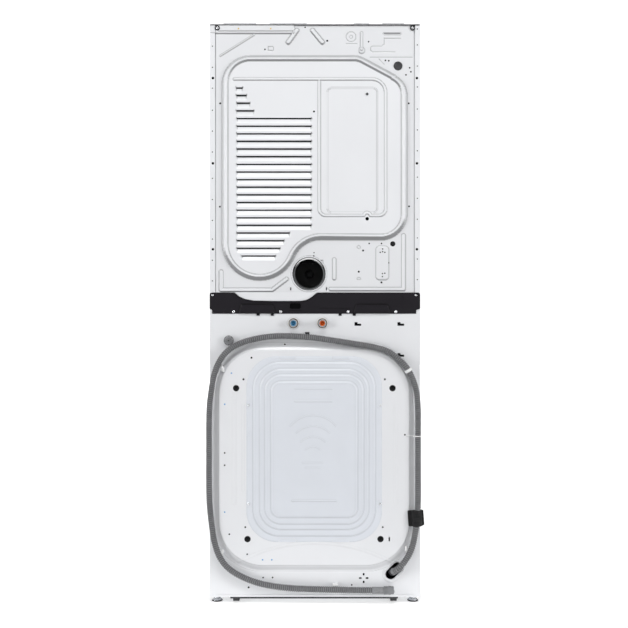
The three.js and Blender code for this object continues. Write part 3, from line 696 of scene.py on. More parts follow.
def dome_step(dome):
    """Up the wall, over a rolled rim, and a little down onto the field."""
    def height(X, Z):
        d = dome(X, Z)
        wall = DOME_HEIGHT * smooth(1 - d / DOME_SLOPE)
        rim = DOME_RIM * smooth((-d - 1.0) / 7.0)
        foot = 0.9 * smooth(1 - np.abs(d - DOME_SLOPE - 1.0) / 2.2)
        return wall - rim - foot
    return height


def louvre(x0, x1, top):
    """The face below a slit leans in towards it, with short ramps at both ends."""
    def height(X, Z):
        down = (top - SLIT_GAP - Z) / SLIT_FACE
        lean = np.where((down >= -0.01) & (down < 1), 1 - down, 0.0)
        lean = np.where((Z <= top - 0.1) & (down < 0), 1.0, lean)
        ends = smooth((X - x0 + 4) / 7.0) * smooth((x1 + 4 - X) / 7.0)
        return -6.0 * lean * ends
    return height


def dome_heights():
    """The frame pressed round the dome's inner panel, and the folds along the sheet's edges."""
    frame_rib = ([(262, 1707), (-182, 1707)] + arc(-186, 1663, 44, 90, 180, 8)
                 + arc(-208, 1285, 22, 180, 270, 6) + [(-188, 1263)] + arc(-170, 1262, 11, 172, 8, 6)
                 + [(-152, 1263)] + arc(-36, 1285, 22, 270, 360, 6) + [(-14, 1300), (-14, 1700)])
    return [
        ridge(frame_rib, 4.0, 1.5, 2.0),
        pressed(round_box(-201, -42, 1275, 1677, 13), -1.5),
        lambda X, Z: -2.6 * smooth(1 - np.abs(np.abs(X) - 324.5) / 2.6),
    ]


def sheet_heights():
    """The shelf, ribs, pads and scored lines over the dome and round the duct."""
    scored = (
        (disc(-118, 1847, 16), 1.3), (disc(-118, 1847, 5), 0.8),
        (line([(-102, 1824), (-138, 1824)]), 1.2), (line([(-226, 1842), (-279, 1842)]), 1.2),
        (line([(-225, 1842), (-225, 1823), (-217, 1817), (-188, 1817), (-181, 1812), (-181, 1803),
               (-188, 1798), (-262, 1798)]), 1.2),
        (line([(-180, 1781), (-317, 1781)]), 0.9), (line([(-209, 1775), (-226, 1757)]), 1.1),
        (round_box(136, 153, 1801, 1815, 3), 1.8), (round_box(-27, -10, 1103, 1119, 2), 1.4),
        (disc(-143, 1161, 5), 1.3), (round_box(-149, -137, 1055, 1061, 3), 1.3))
    return [bead(outline, SCORE, -depth) for outline, depth in scored] + [
        lambda X, Z: 3.0 * smooth((Z - 1857) / 2.6) * smooth((X - 66) / 4.0),
        bead(line([(315, 1864), (72, 1864)]), 2.4, -2.2),
        bead(line([(309, 1785), (198, 1854)]), 3.2, 2.0),
        bead(disc(DUCT_X, DUCT_Z, DUCT_HOLE + 2), 3.4, 1.4),
        ridge([(59, 1868), (87, 1829)], 9.0, 3.8),
        ridge([(8, 1868), (-24, 1829)], 9.0, 3.8),
        ridge([(-152, 1860), (-152, 1806)], 4.0, 1.4, 2.0),
        ridge([(-226, 1857), (-277, 1857)], 2.0, -2.6, 2.2),
        ridge([(306, 1081), (306, 1021), (140, 1021), (92, 1057)], 7.0, 2.6),
        ridge([(-289, 1199), (-289, 1024), (-52, 1024)], 7.0, 2.4),
        ridge([(-63, 1121), (-63, 1059)], 6.0, 2.0),
        pressed(round_box(-159, -146, 1795, 1810, 5), 1.2, 2.0),
        pressed(round_box(-238, -202, 1057, 1161, 8), 1.3),
    ]


def dryer_back():
    """The pressed sheet with its louvre, and a near-black plate of painted shadow behind its slits."""
    heights = [dome_step(loop(dome_outline()))]
    holes = [disc(DUCT_X, DUCT_Z, DUCT_HOLE), disc(-254, 1172, 8.6),
             round_box(77, 81, 1020, 1031, 2), round_box(-40, -36, 1020, 1031, 2)]
    exact_z = []
    for k, (x0, x1) in enumerate(SLIT_ENDS):
        top = SLIT_TOP - SLIT_PITCH * k
        exact_z += [top, top - SLIT_GAP]
        holes.append(round_box(x0, x1, top - SLIT_GAP, top, 0.8))
        heights.append(louvre(x0, x1, top))
    xs = lines_between(-341, 341, GRID, (11, 255))
    zs = lines_between(1013.2, 1883.6, GRID, exact_z)
    # The sheet's crease attribute carries painted shade: strong on its down-facing walls and folds, light
    # over its low field.
    reliefs("dryer_back_sheet", xs, zs, 1440, DRYER_FACE, heights + dome_heights() + sheet_heights(), holes,
            WHITE, share=1.05, under=0.95, low=0.08, stands_for="dryer_rear_panel", slot="white_paint")
    # A near-black plate behind the slits: painted shadow seen through them.
    slit_shadow_foot = SLIT_TOP - len(SLIT_ENDS) * SLIT_PITCH
    slit_shadow = Shape().block(4, 262, 333.0, 335.0, slit_shadow_foot, SLIT_TOP + 4, 0.8)
    slit_shadow.piece("louvre_slit_shadow", HOLE, smooth=False)


def dryer_back_holes():
    """Dark discs of painted shade for the small holes in the sheet and in the dome, and the diamond plug."""
    dome_y = DRYER_FACE + DOME_HEIGHT - DOME_RIM
    dark = Shape()
    for x, z, radius in DRYER_HOLES:
        on_pad = z < 1165 and -235 < x < -200
        hole_shadow_disc(dark, x, z, DRYER_FACE + (1.4 if on_pad else 0.1), radius)
    for x, z, radius in ((3, 1602, 2.6), (-170, 1253, 4.6)):
        hole_shadow_disc(dark, x, z, dome_y + 0.2, radius)
    dark.piece("dryer_back_holes", HOLE)
    diamond = [(0, dome_y - 2.5), (5.2, dome_y - 2.5), (5.2, dome_y + 0.2), (0, dome_y + 0.3)]
    diamond = Shape().turn(diamond, (-170, 0, 1659), "y", 4)
    diamond.piece("dryer_diamond_plug", DARK, smooth=False)


dryer_back()
dryer_back_holes()
FLANGE_ROWS = (1868, 1816, 1747, 1679, 1607, 1539, 1471, 1385, 1316, 1248, 1187, 1118, 1051)


def dryer_flange_screws():
    """Two columns of fixings on the folded edges, their holes as dark discs of painted shade, and the corner
    screws on their washers.
    """
    screws, black, corner, rings = Shape(), Shape(), Shape(), Shape()
    for side in (1, -1):
        for z in FLANGE_ROWS:
            place = (side * 334.0, z + (0 if side > 0 else 4), BACK_PLANE)
            hole_shadow_disc(black, *place, 1.9, 2.0)
            washer_ring(screws, *place, 3.4, 1.9, 0.5)
        for z in (1712, 1434, 1154):
            hole_shadow_disc(black, side * 332.5, z, BACK_PLANE, 3.4, 2.0)
        pan_head(corner, side * 318.0, 1875.0, BACK_PLANE + 1.6, 5.0, 3.0)
        washer_ring(rings, side * 318.0, 1875.0, BACK_PLANE + 0.6, 8.6, 4.6, 1.4)
    screws.piece("dryer_flange_rivets", WHITE)
    black.piece("dryer_flange_holes", HOLE)
    corner.piece("dryer_corner_screws", BRIGHT)
    rings.piece("dryer_corner_washers", DARK)


def dryer_plugs():
    """Two brass dots, a round plug and the plug of a blanked hole."""
    y = DRYER_FACE
    dots = Shape()
    for x in (249, 144):
        dots.turn([(0, y), (2.6, y), (2.4, y + 3.6), (0, y + 4)], (x, 0, 1873), "y", 14)
    dots.piece("dryer_brass_dots", BRASS)
    plug = [(0, y - 2), (14.5, y - 2), (14.5, y + 1.2), (13.2, y + 2.4), (10.5, y + 2.6), (9.6, y + 1.2),
            (4.0, y + 0.9), (0, y + 0.9)]
    Shape().turn(plug, (-271, 0, 1752), "y", 36).piece("dryer_round_plug", DARK)
    blank = [(0, y - 9), (8.5, y - 9), (8.5, y - 3), (0, y - 3.4)]
    Shape().turn(blank, (-254, 0, 1172), "y", 24).piece("dryer_blank_plug", RUBBER)


dryer_flange_screws()
dryer_plugs()


def duct():
    """Spigot inside the panel's hole, with a rolled rim, a black lining of painted shade, a seal and a white
    crescent of painted highlight.
    """
    low, high = box_mm("exhaust_duct")
    outer = (high[0] - low[0]) / 2
    inner, back, front, tip = outer - 1.4, high[1] - 58.0, low[1], high[1]
    centre = (DUCT_X, 0, DUCT_Z)
    pipe = [(inner, front), (outer, front), (outer, back - 6), (outer + 1.2, back - 3), (outer + 1.2, back),
            (inner - 1.0, back), (inner - 1.6, back - 1.6), (inner - 0.4, back - 4)]
    Shape().turn(pipe, centre, "y", 72).piece("exhaust_spigot", ZINC, crease=50,
                                               stands_for="exhaust_duct", slot="galvanised")
    # Black lining inside the spigot: painted shade.
    inner_shadow = [(inner - 0.3, back - 4), (inner, back - 4), (inner, front + 6), (inner - 0.3, front + 6)]
    Shape().turn(inner_shadow, centre, "y", 60).piece("exhaust_inner_shadow", RUBBER)
    sleeve = [(outer + 1.6, back - 8), (DUCT_HOLE - 0.4, back - 8), (DUCT_HOLE - 0.4, tip - 2),
              (DUCT_HOLE - 1.2, tip), (outer + 1.6, tip - 0.4)]
    Shape().turn(sleeve, centre, "y", 60).piece("exhaust_seal_sleeve", RUBBER,
                                                 stands_for="exhaust_duct")
    # A white crescent along the top of the rim: a painted highlight.
    steps = 39
    band = arc(DUCT_X, DUCT_Z, outer - 0.8, 28, 152, steps)
    crescent_highlight = Shape().sweep([(x, tip + 1.2, z) for x, z in band],
                          lambda k: circle(0.3 + 2.3 * math.sin(math.pi * k / steps), 10))
    crescent_highlight.piece("exhaust_crescent_highlight", GLOSS_WHITE)


duct()


# ------------------------------------------------------------------ washer back
WASHER_FACE = 350.0
BULGE_HEIGHT = 12.0
BULGE = round_box(-305, 310, 129, 826, 141)
INLETS = {"cold": (70.0, 913.0), "hot": (-24.0, 913.0)}
BOLTS = ((256, 702), (-252, 702), (219, 212), (-213, 212))
# [half width, half height, corner radius] of the cover's steps, from the outermost in.
COVER_STEPS = ((220, 302, 100), (195, 279, 82), (174, 257, 66), (157, 239, 50), (137, 217, 27))
COVER_X, COVER_Z = 2.5, 504.5
COVER_SEAT = 362.3 + 1.5
COVER_SCREWS = ((216, 647), (-213, 647), (216, 327), (-212, 327))
CREST = WASHER_FACE + BULGE_HEIGHT
# [x, z, radius] of the small holes, and [x, z] of the painted dots.
WASHER_HOLES = (
    (206, 801, 2.6), (98, 844, 2.2), (220, 163, 2.2), (216, 52, 2.6), (169, 84, 2.2), (138, 84, 2.2),
    (-120, 60, 2.2), (232, 731, 2.6), (-227, 731, 2.6), (226, 251, 2.4), (-220, 251, 2.4),
    (278, 228, 2.2), (293, 492, 2.2), (293, 452, 2.2), (-292, 551, 2.2))
WASHER_DOTS = ((271, 751), (293, 650), (293, 300), (170, 145), (140, 145))


def washer_back():
    """The bulged sheet: beads, the cover's opening, bolt holes, inlets and keyed slots."""
    heights = [
        lambda X, Z: BULGE_HEIGHT * (0.8 * smooth(1 - (BULGE(X, Z) - 2) / 20.0)
                                     + 0.2 * smooth(1 - BULGE(X, Z) / 4.0)),
        bead(round_box(-330, 335, 104, 851, 163), 2.4, -0.9),
        bead(line([(262, 690), (262, 330)]), 8.0, 1.6),
        bead(line([(233, 650), (233, 370)]), 5.0, 1.2),
        bead(line([(-262, 650), (-262, 330)]), 8.0, 1.3),
        bead(line(arc(0, -330, 530, 62, 118, 16)), 6.0, 1.4),
        bead(line([(-320, 27), (318, 27)]), 3.0, 1.2),
        bead(line([(-269, 117), (-247, 95)], 46), 5.0, 1.6),
    ]
    heights += [bead(disc(x, z, 20), 3.0, -0.7) for x, z in INLETS.values()]
    holes = [round_box(-187, 192, 235, 775, 72), line([(-269, 117), (-247, 95)], 34),
             round_box(-244, -239, 205, 219, 1.5)]
    holes += [disc(x, z, 13.8) for x, z in INLETS.values()] + [disc(x, z, 10.4) for x, z in BOLTS]
    for x, z in ((-129, 904.5), (-269, 904.5), (-269, 803.5)):
        holes += [round_box(x - 10, x, z, z + 12, 1.0), round_box(x - 22, x - 8, z, z + 7, 1.0)]
    holes += [line(ends, 6.0) for ends in (((-159, 96), (-159, 93)), ((-159, 71), (-159, 68)),
                                           ((-172, 82), (-168, 82)), ((-150, 82), (-146, 82)))]
    # The sheet's crease attribute carries painted shade, weak in its folds and on its down-facing slopes.
    reliefs("washer_back_sheet", lines_between(-342.5, 342.5, GRID), lines_between(21.0, 964.0, GRID), 504,
            WASHER_FACE, heights, holes, WHITE, share=0.5, under=0.12, stands_for="washer_rear_panel",
            slot="white_paint")
    # Near-black plates behind the keyed slots and the small slots: painted shadow seen through them.
    shadow_plate = Shape()
    for x, z in ((-139, 910), (-279, 910), (-279, 809)):
        shadow_plate.block(x - 18, x + 16, 344.6, 346.2, z - 12, z + 14, 0.4)
    shadow_plate.block(-182, -138, 344.6, 346.2, 60, 104, 0.4)
    shadow_plate.piece("washer_slot_shadow", HOLE, smooth=False)


def washer_back_marks():
    """Small holes as dark discs of painted shade, and painted dots, laid on the bulge."""
    def sheet_y(x, z):
        return WASHER_FACE + BULGE_HEIGHT * float(smooth(1 - BULGE(np.array(x), np.array(z)) / 24.0))

    dark, raised = Shape(), Shape()
    for x, z, radius in WASHER_HOLES:
        hole_shadow_disc(dark, x, z, sheet_y(x, z), radius)
    dark.piece("washer_back_holes", HOLE)
    for x, z in WASHER_DOTS:
        y = sheet_y(x, z)
        raised.turn([(0, y - 1), (2.6, y - 1), (2.4, y + 0.8), (0, y + 1.2)], (x, 0, z), "y", 14)
    raised.piece("washer_paint_dots", PALE_BLUE)


def bolt_plugs():
    profile = [(0, CREST - 9), (10.3, CREST - 9), (10.3, CREST - 1.4), (9.6, CREST - 1.0),
               (8.4, CREST - 5), (4.5, CREST - 5.6), (4.0, CREST - 8), (0, CREST - 8)]
    plugs = Shape()
    for x, z in BOLTS:
        plugs.turn(profile, (x, 0, z), "y", 28)
    plugs.piece("transit_bolt_plugs", RUBBER)


def cable_gland():
    """An eight-sided gland with a ring on its nose, round a rubber core."""
    y, centre = CREST - 1.5, (280, 0, 857)
    body = [(0, y), (14.5, y), (14.5, y + 3.4), (12.6, y + 5.4), (8.6, y + 5.8), (7.4, y + 4.0), (0, y + 4.0)]
    gland = Shape().turn(body, centre, "y", 8)
    gland.turn([(2.6, y + 3), (5.2, y + 3), (5.0, y + 7), (3.0, y + 7)], centre, "y", 16)
    gland.piece("cable_gland", HOSE, crease=30)
    core = Shape().turn([(0, y + 1), (2.6, y + 1), (2.6, y + 6.4), (0, y + 6.4)], centre, "y", 12)
    core.turn([(14.4, y + 0.6), (16.0, y + 0.6), (16.0, y + 1.9), (14.4, y + 1.9)], centre, "y", 24)
    core.piece("cable_gland_core", RUBBER)


washer_back()
washer_back_marks()
bolt_plugs()
cable_gland()


def cover_outline(step, grow=0.0):
    hx, hz, radius = COVER_STEPS[step]
    return round_box(COVER_X - hx - grow, COVER_X + hx + grow, COVER_Z - hz - grow, COVER_Z + hz + grow,
                     radius + grow)


def service_cover():
    """The stepped plastic cover: each step rises in a small rolled shoulder."""
    outer = cover_outline(0)
    heights = [lambda X, Z: -1.6 * smooth(1 + outer(X, Z) / 5.0)]
    for k in range(1, len(COVER_STEPS)):
        heights += [plateau(cover_outline(k), 3.6, 2.4), bead(cover_outline(k, 5.4), 2.2, -0.6),
                    bead(cover_outline(k, -2.6), 2.6, 0.7)]
    # bars above and below, then plain nested arches and bars in the middle
    bars = (((64, -56, 661), 2.8, 1.6), ((64, -56, 701), 2.4, 1.0), ((74, -69, 339), 2.8, 1.8),
            ((40, -28, 462), 2.6, 0.9), ((30, -18, 446), 2.6, 0.9))
    heights += [bead(line([(x0, z), (x1, z)]), half, height) for (x0, x1, z), half, height in bars]
    arches = (((520, 96, 40, 140, 14), 2.8, 1.1), ((505, 76, 45, 135, 12), 2.6, 1.0),
              ((490, 56, 45, 135, 12), 2.6, 1.0), ((480, 34, 45, 135, 10), 2.6, 0.9))
    heights += [bead(line(arc(6, *curve)), half, height) for curve, half, height in arches]
    heights += [bead(disc(x, z, 9.5), 3.4, 0.9) for x, z in COVER_SCREWS]
    heights += [bead(disc(x, z, 7.0), 3.0, 0.5) for x in (216, -213) for z in (553, 423)]
    notches = [round_box(COVER_X + dx - 28, COVER_X + dx + 28, z0, z1, 5)
               for dx in (87, -86) for z0, z1 in ((795, 812), (197, 214))]
    # The cover's crease attribute carries painted shade, weak in its folds and on its down-facing slopes.
    relief("service_cover_moulding", lines_between(-218, 223, 2.0), lines_between(202, 807, 2.0), COVER_SEAT,
           heights, [lambda X, Z: -outer(X, Z)] + notches, COVER, lip=1.6, share=0.4, under=0.1,
           stands_for="rear_service_cover", slot="cool_white_plastic")


def cover_fixings():
    """Tongues in the cover's notches and four screws."""
    tongues, screws = Shape(), Shape()
    for dx in (87, -86):
        for z0, z1 in ((796.4, 806.4), (202.6, 212.6)):
            x = COVER_X + dx
            tongues.block(x - 26.6, x + 26.6, COVER_SEAT - 1.4, COVER_SEAT - 0.2, z0, z1, 0.5)
    tongues.piece("service_cover_tongues", COVER, smooth=False)
    for x, z in COVER_SCREWS:
        pan_head(screws, x, z, COVER_SEAT + 0.2, 4.0, 2.0)
    screws.piece("service_cover_screws", BRIGHT)


service_cover()
cover_fixings()


def water_inlet(name, tint):
    """Threaded nozzle of one water inlet valve, its seat ring, a ring of painted shadow at its seat and its
    coloured filter cup.
    """
    x, z = INLETS[name]
    centre = (x, 0, z)
    tip, bore = 372.0, 9.0
    thread = [(bore, 353), (13.0, 353)]
    for k in range(7):
        y = 354.5 + 2.1 * k
        thread += [(11.9, y), (13.1, y + 0.9), (13.1, y + 1.2)]
    thread += [(12.6, tip - 1.4), (12.2, tip), (bore + 0.8, tip), (bore, tip - 0.8)]
    thread = Shape().turn(thread, centre, "y", 40)
    thread.piece("inlet_thread_" + name, BRIGHT, crease=35, stands_for=name + "_inlet_valve")
    seat = [(14.6, 350.2), (16.2, 350.2), (16.2, 352.6), (15.4, 353.4), (14.6, 353.2)]
    Shape().turn(seat, centre, "y", 40).piece("inlet_seat_" + name, DULL_BRASS, crease=35)
    # A near-black ring in the gap between thread and seat: painted shadow.
    gap = [(12.9, 350.3), (14.6, 350.3), (14.6, 351.0), (12.9, 351.0)]
    Shape().turn(gap, centre, "y", 40).piece("inlet_gap_shadow_" + name, HOLE)
    cup = [(0, 356), (8.9, 356), (8.9, 369.5), (7.9, 370.2), (6.6, 369.6), (6.0, 362), (0, 361.4)]
    cup = Shape().turn(cup, centre, "y", 28)
    for k in range(4):
        angle = math.pi * k / 4
        dx, dz = 5.9 * math.cos(angle), 5.9 * math.sin(angle)
        cup.sweep([(x - dx, 362.6, z - dz), (x + dx, 362.6, z + dz)], lambda _k: circle(0.6, 6))
    cup.turn([(0, 360), (2.4, 360), (2.4, 365.4), (1.4, 366.2), (0, 366.4)], centre, "y", 16)
    cup.piece("inlet_filter_" + name, tint)


water_inlet("cold", BLUE)
water_inlet("hot", ORANGE)


# ------------------------------------------------------------------ stacking bracket
BRACKET_FACE = 352.8


def bracket():
    """The dark joining plate: stepped ends, a dipped upper edge and two raised pads."""
    dip = [(262, 1014), (262, 1013), (246, 1000), (228, 992), (201, 987), (120, 985.5), (45, 986),
           (26, 989.5), (10, 999), (-6, 1013), (-6, 1014)]
    dip_area = loop([(262, 1030)] + dip[1:-1] + [(-6, 1030)])
    outline = loop([(-330, 944), (335, 944), (335, 956), (343, 960), (343, 1005)]
                   + arc(335, 1005, 8, 0, 90, 4) + arc(-335, 1005, 8, 90, 180, 4)
                   + [(-343, 960), (-330, 956)])
    pads = [loop([(x - 58, 946), (x + 58, 946), (x + 50, 972), (x - 50, 972)]) for x in (188.5, -185.5)]
    heights = [pressed(pad, 4.4, 2.4) for pad in pads]
    heights += [
        bead(line([(-17, 965), (-115, 965)]), 3.0, 1.2),
        bead(line([(81, 958), (43, 958)]), 2.6, 1.6),
        bead(round_box(46, 82, 960, 978, 6), 2.6, 0.9),
        lambda X, Z: -1.0 * smooth(1 + outline(X, Z) / 3.0),
        lambda X, Z: 1.2 * smooth(1 - np.abs(dip_area(X, Z) - 3.0) / 3.0),
        bead(line([(-284, 1003), (-290, 996), (-290, 980)]), 2.4, 1.0),
    ]
    holes = [lambda X, Z: -outline(X, Z), dip_area, round_box(46, 82, 960, 978, 6)]
    # The plate's crease attribute carries painted shade, strong in its folds and on its down-facing slopes.
    relief("bracket_plate", lines_between(-344, 344, 2.4), lines_between(943, 1014, 2.4, (946,)),
           BRACKET_FACE, heights, holes, BLACK, lip=2.6, share=1.3, under=0.6,
           stands_for="stacking_bracket", slot="black_paint")
    relief("dryer_back_tongue", lines_between(-20, 278, 4.0), lines_between(976, 1014, 2.0), 350.25,
           [bead(line([(270, 1010), (0, 1010)]), 3.0, 0.01)], [], WHITE, lip=0.2, slot="white_paint")
    # A near-black plate behind the plate's hole: painted shadow seen through it.
    shadow_plate = Shape().block(43, 85, 350.5, 351.2, 957, 981, 0.2)
    shadow_plate.piece("bracket_hole_shadow", HOLE, smooth=False)


def bracket_fixings():
    """Four screws along the plate's foot, one in each upper corner, and its hook tabs."""
    screws, small = Shape(), Shape()
    for x in (265, 112, -108, -263):
        pan_head(screws, x, 950.5, BRACKET_FACE, 5.2, 2.8)
    for x in (333, -329):
        pan_head(small, x, 1004.5, BRACKET_FACE, 3.8, 2.0)
    screws.piece("bracket_screws", BRIGHT)
    small.piece("bracket_corner_screws", BRIGHT)
    tabs = Shape()
    for x in (185, 139, -82, -128):
        tabs.block(x - 5, x + 5, 350.2, 352.6, 937.5, 944.5, 0.5)
    tabs.piece("bracket_hook_tabs", BLACK, smooth=False)


bracket()
bracket_fixings()


# ------------------------------------------------------------------ drain hose
HOSE_Y, HOSE_R, HOSE_PITCH = 371.0, 11.0, 6.6
HOSE_START = [(-252, 330, 100), (-256, 350, 104), (-263, 364, 111)]
HOSE_RUN = [(-274, 122), (-290, 141), (-305, 165), (-315, 190), (-322, 220), (-328, 256), (-332, 300),
            (-334, 350), (-334, 440), (-334, 540), (-334, 630), (-330, 684), (-318, 728), (-299, 766),
            (-270, 797), (-236, 822), (-190, 836), (-130, 846), (-60, 857), (10, 867), (75, 871), (130, 871),
            (180, 865), (225, 854), (262, 838), (290, 816), (311, 786), (326, 748), (334, 706), (341, 650),
            (343, 590), (343, 500), (343, 400), (341, 330), (334, 260), (325, 205), (309, 158), (282, 122),
            (243, 96), (195, 76), (140, 63), (70, 55), (-10, 52), (-90, 50), (-160, 49), (-222, 48.5)]


def rounded_path(points, step):
    """A Catmull-Rom curve through the points, cut into equal lengths."""
    p = np.array(points, float)
    p = np.vstack([2 * p[0] - p[1], p, 2 * p[-1] - p[-2]])
    dense = []
    for a, b, c, d in zip(p, p[1:], p[2:], p[3:]):
        for t in np.linspace(0, 1, 24, endpoint=False):
            dense.append(0.5 * (2 * b + (c - a) * t + (2 * a - 5 * b + 4 * c - d) * t * t
                                + (3 * b - a - 3 * c + d) * t ** 3))
    dense = np.array(dense + [p[-2]])
    along = np.concatenate([[0], np.cumsum(np.linalg.norm(np.diff(dense, axis=0), axis=1))])
    count = int(round(along[-1] / step))
    at = np.linspace(0, along[-1], count + 1)
    return np.stack([np.interp(at, along, dense[:, k]) for k in range(3)], 1)


def hose():
    """The corrugated tube: plain near its ends, with a groove every fourth step between them."""
    path = rounded_path(HOSE_START + [(x, HOSE_Y, z) for x, z in HOSE_RUN], HOSE_PITCH / 4)
    dips = (0.0, 0.55, 1.0, 0.55)

    def dip(k):
        return 0.0 if k < 19 or k > len(path) - 23 else dips[k % 4]

    sides = 16
    tube = Shape().sweep(path, lambda k: circle(HOSE_R - 2.6 * dip(k), sides))
    tube = tube.piece("corrugated_drain_hose", HOSE, stands_for="drain_hose")
    # Painted shade in the grooves, through the crease attribute.
    store_painted_shade(tube, np.repeat([0.85 * dip(k) for k in range(len(path))], sides))
    return tube, path


hose_tube, hose_path = hose()


def hose_end():
    """The moulded cuff at the free end, with its lip and notch."""
    centre = (0, HOSE_Y, 48.5)
    profile = [(8.0, -255.0), (11.6, -255.0), (12.4, -254.4), (12.6, -246), (13.9, -245), (13.9, -238),
               (12.8, -237), (12.8, -226), (12.0, -223), (11.0, -222.4), (8.0, -222.4)]
    cuff = Shape().turn(profile, centre, "x", 40)
    cuff.block(-256.5, -238, HOSE_Y + 9, HOSE_Y + 13.4, 45, 52, 0.8)
    for k in range(3):
        x = -234 + 4 * k
        cuff.turn([(12.0, x), (13.5, x + 0.3), (13.5, x + 1.5), (12.0, x + 1.8)], centre, "x", 40)
    cuff = cuff.piece("hose_end_cuff", GREY, crease=35, stands_for="hose_end_fitting", slot="grey_plastic")


hose_end()


def band_round_hose(shape, x, z, half, thick):
    """A band of one width round the hose where it passes x and z."""
    start = 40
    gap = np.hypot(hose_path[start:, 0] - x, hose_path[start:, 2] - z)
    k = start + int(np.argmin(gap))
    along = hose_path[k + 2] - hose_path[k - 2]
    along /= np.linalg.norm(along)
    spine = [hose_path[k] + along * half * t for t in (-1, -0.8, 0.8, 1)]
    outer = [HOSE_R + thick * share for share in (0.4, 1.0, 1.0, 0.4)]
    shape.sweep(spine, lambda i: circle(outer[i], 28))


def hose_saddles():
    """A band, three curved saddles on their posts and an open clip near the foot."""
    white = Shape()
    band_round_hose(white, -305, 762, 4.6, 1.5)
    for x, z, lean in ((300, 767, 0.34), (302, 168, -0.30), (-297, 179, 0.12)):
        spine = [(x - lean * 11, 364.0, z - 11), (x - lean * 4, 368.5, z - 4), (x + lean * 4, 368.5, z + 4),
                 (x + lean * 11, 364.0, z + 11)]
        white.sweep(spine, lambda _k: [(a * 4.4, b * 1.3) for a, b in circle(1.0, 12)])
        white.block(x - 4, x + 4, 350.5, 366.0, z - 5, z + 5, 0.8)
    x = -66.0
    for y, z0, z1 in ((366.0, 60.0, 67.0), (366.0, 36.5, 41.5), (357.0, 40.0, 62.0)):
        white.block(x - 9, x + 9, 350.4, y, z0, z1, 1.0)
    white.piece("hose_saddles", GLOSS_WHITE, crease=35)


def hose_ties():
    """A thin tie with its tail, the clip at the hose's top and the cuff at its outlet."""
    tie = Shape()
    x, z = -334, 548
    band_round_hose(tie, x, z, 1.7, 1.0)
    tie.block(x + 10, x + 15, 367, 373, z - 2.6, z + 2.6, 0.8)
    tie.sweep([(x + 13, 370, z), (x + 26, 368, z + 1.0), (x + 40, 363.4, z + 1.0)],
              lambda _i: [(a * 1.0, b * 0.6) for a, b in circle(1.0, 8)])
    tie.piece("hose_tie", GLOSS_WHITE)
    clips = Shape()
    for x in (20, 30):
        clips.block(x - 2.2, x + 2.2, 350.4, 368.0, 880, 884.5, 0.6)
    clips.block(18, 32, 350.4, 353.0, 862, 884, 0.6)
    clips.piece("hose_top_clip", DARK, smooth=False)
    cuff = Shape()
    spine = [hose_path[i] for i in (2, 5, 8, 11, 13)]
    radii = (14.2, 14.6, 14.4, 13.0, 11.4)
    cuff.sweep(spine, lambda i: circle(radii[i], 28))
    cuff.piece("hose_outlet_cuff", DARK)


hose_saddles()
hose_ties()


HOSE_STRAP_X = -330.0


def strap():
    """The moulded black strap low on the right: a ribbed pad bent over the hose."""
    low, high = box_mm("hose_strap")
    x0, x1, z0, z1, y0 = low[0] + 1.0, high[0] + 1.0, low[2] - 1, high[2] - 1.5, low[1]
    middle = (x0 + x1) / 2
    lean = 0.07

    def slab(z_low, z_high, inset, top):
        """A slice of the pad, bent over the hose and leaning with it."""
        ring = []
        for t in np.linspace(0, 1, 19):
            x = x0 + inset + (x1 - x0 - 2 * inset) * t
            over = max(0.0, 1 - ((x - HOSE_STRAP_X) / 16.0) ** 2) ** 0.5
            ring.append((x, y0 + 6.0 + top + (HOSE_Y + HOSE_R - 4.4 - y0) * over))
        ring += [(x1 - inset, y0), (x0 + inset, y0)]
        return loft([[(x + lean * (z - (z0 + z1) / 2), y, z - lean * (x - middle)) for x, y in ring]
                     for z in (z_low, z_high)])

    pad = Shape().put(*slab(z0 + 2, z1 - 2, 0.0, 0.0))
    pad.put(*slab(z0, z1, 3.0, -1.5))
    for z in np.linspace(z0 + 8, z1 - 8, 5):
        pad.put(*slab(z - 1.6, z + 1.6, 1.0, 1.2))
    pad.piece("hose_strap_moulding", RUBBER, crease=35, stands_for="hose_strap", slot="black_rubber")


strap()


# ------------------------------------------------------------------ feet
def foot(node):
    """A levelling foot: a ribbed pad, a threaded stem and a lock nut."""
    low, high = box_mm(node)
    centre = (*(low[:2] + high[:2]) / 2, 0)
    pad = [(0, 0.1), (16.5, 0.1), (18.0, 1.0), (18.0, 3.6), (17.2, 4.4), (0, 4.4)]
    pad = Shape().turn(pad, centre, "z", 40)
    pad.piece(node + "_pad", RUBBER, node, stands_for=node, slot="black_rubber")
    stem = [(0, 4.0), (17.0, 4.0), (17.4, 4.8), (16.6, 6.2), (12.0, 9.4), (9.0, 10.4), (8.4, 12.0),
            (5.2, 12.2)]
    for k in range(14):
        z = 12.6 + k * 3.0
        stem += [(5.2, z), (6.0, z + 1.0), (6.0, z + 1.6), (5.2, z + 2.6)]
    stem += [(4.6, 55.5), (0, 56.0)]
    thread = Shape().turn(stem, centre, "z", 36)
    nut = [(6.0, 12.4), (11.0, 12.4), (11.8, 13.2), (11.8, 17.4), (11.0, 18.2), (6.0, 18.2)]
    thread.turn(nut, centre, "z", 6)
    thread.piece(node + "_stem", BRIGHT, node, crease=30, slot="zinc_steel")


for place_name in product(("front", "rear"), ("left", "right")):
    foot("foot_" + "_".join(place_name))


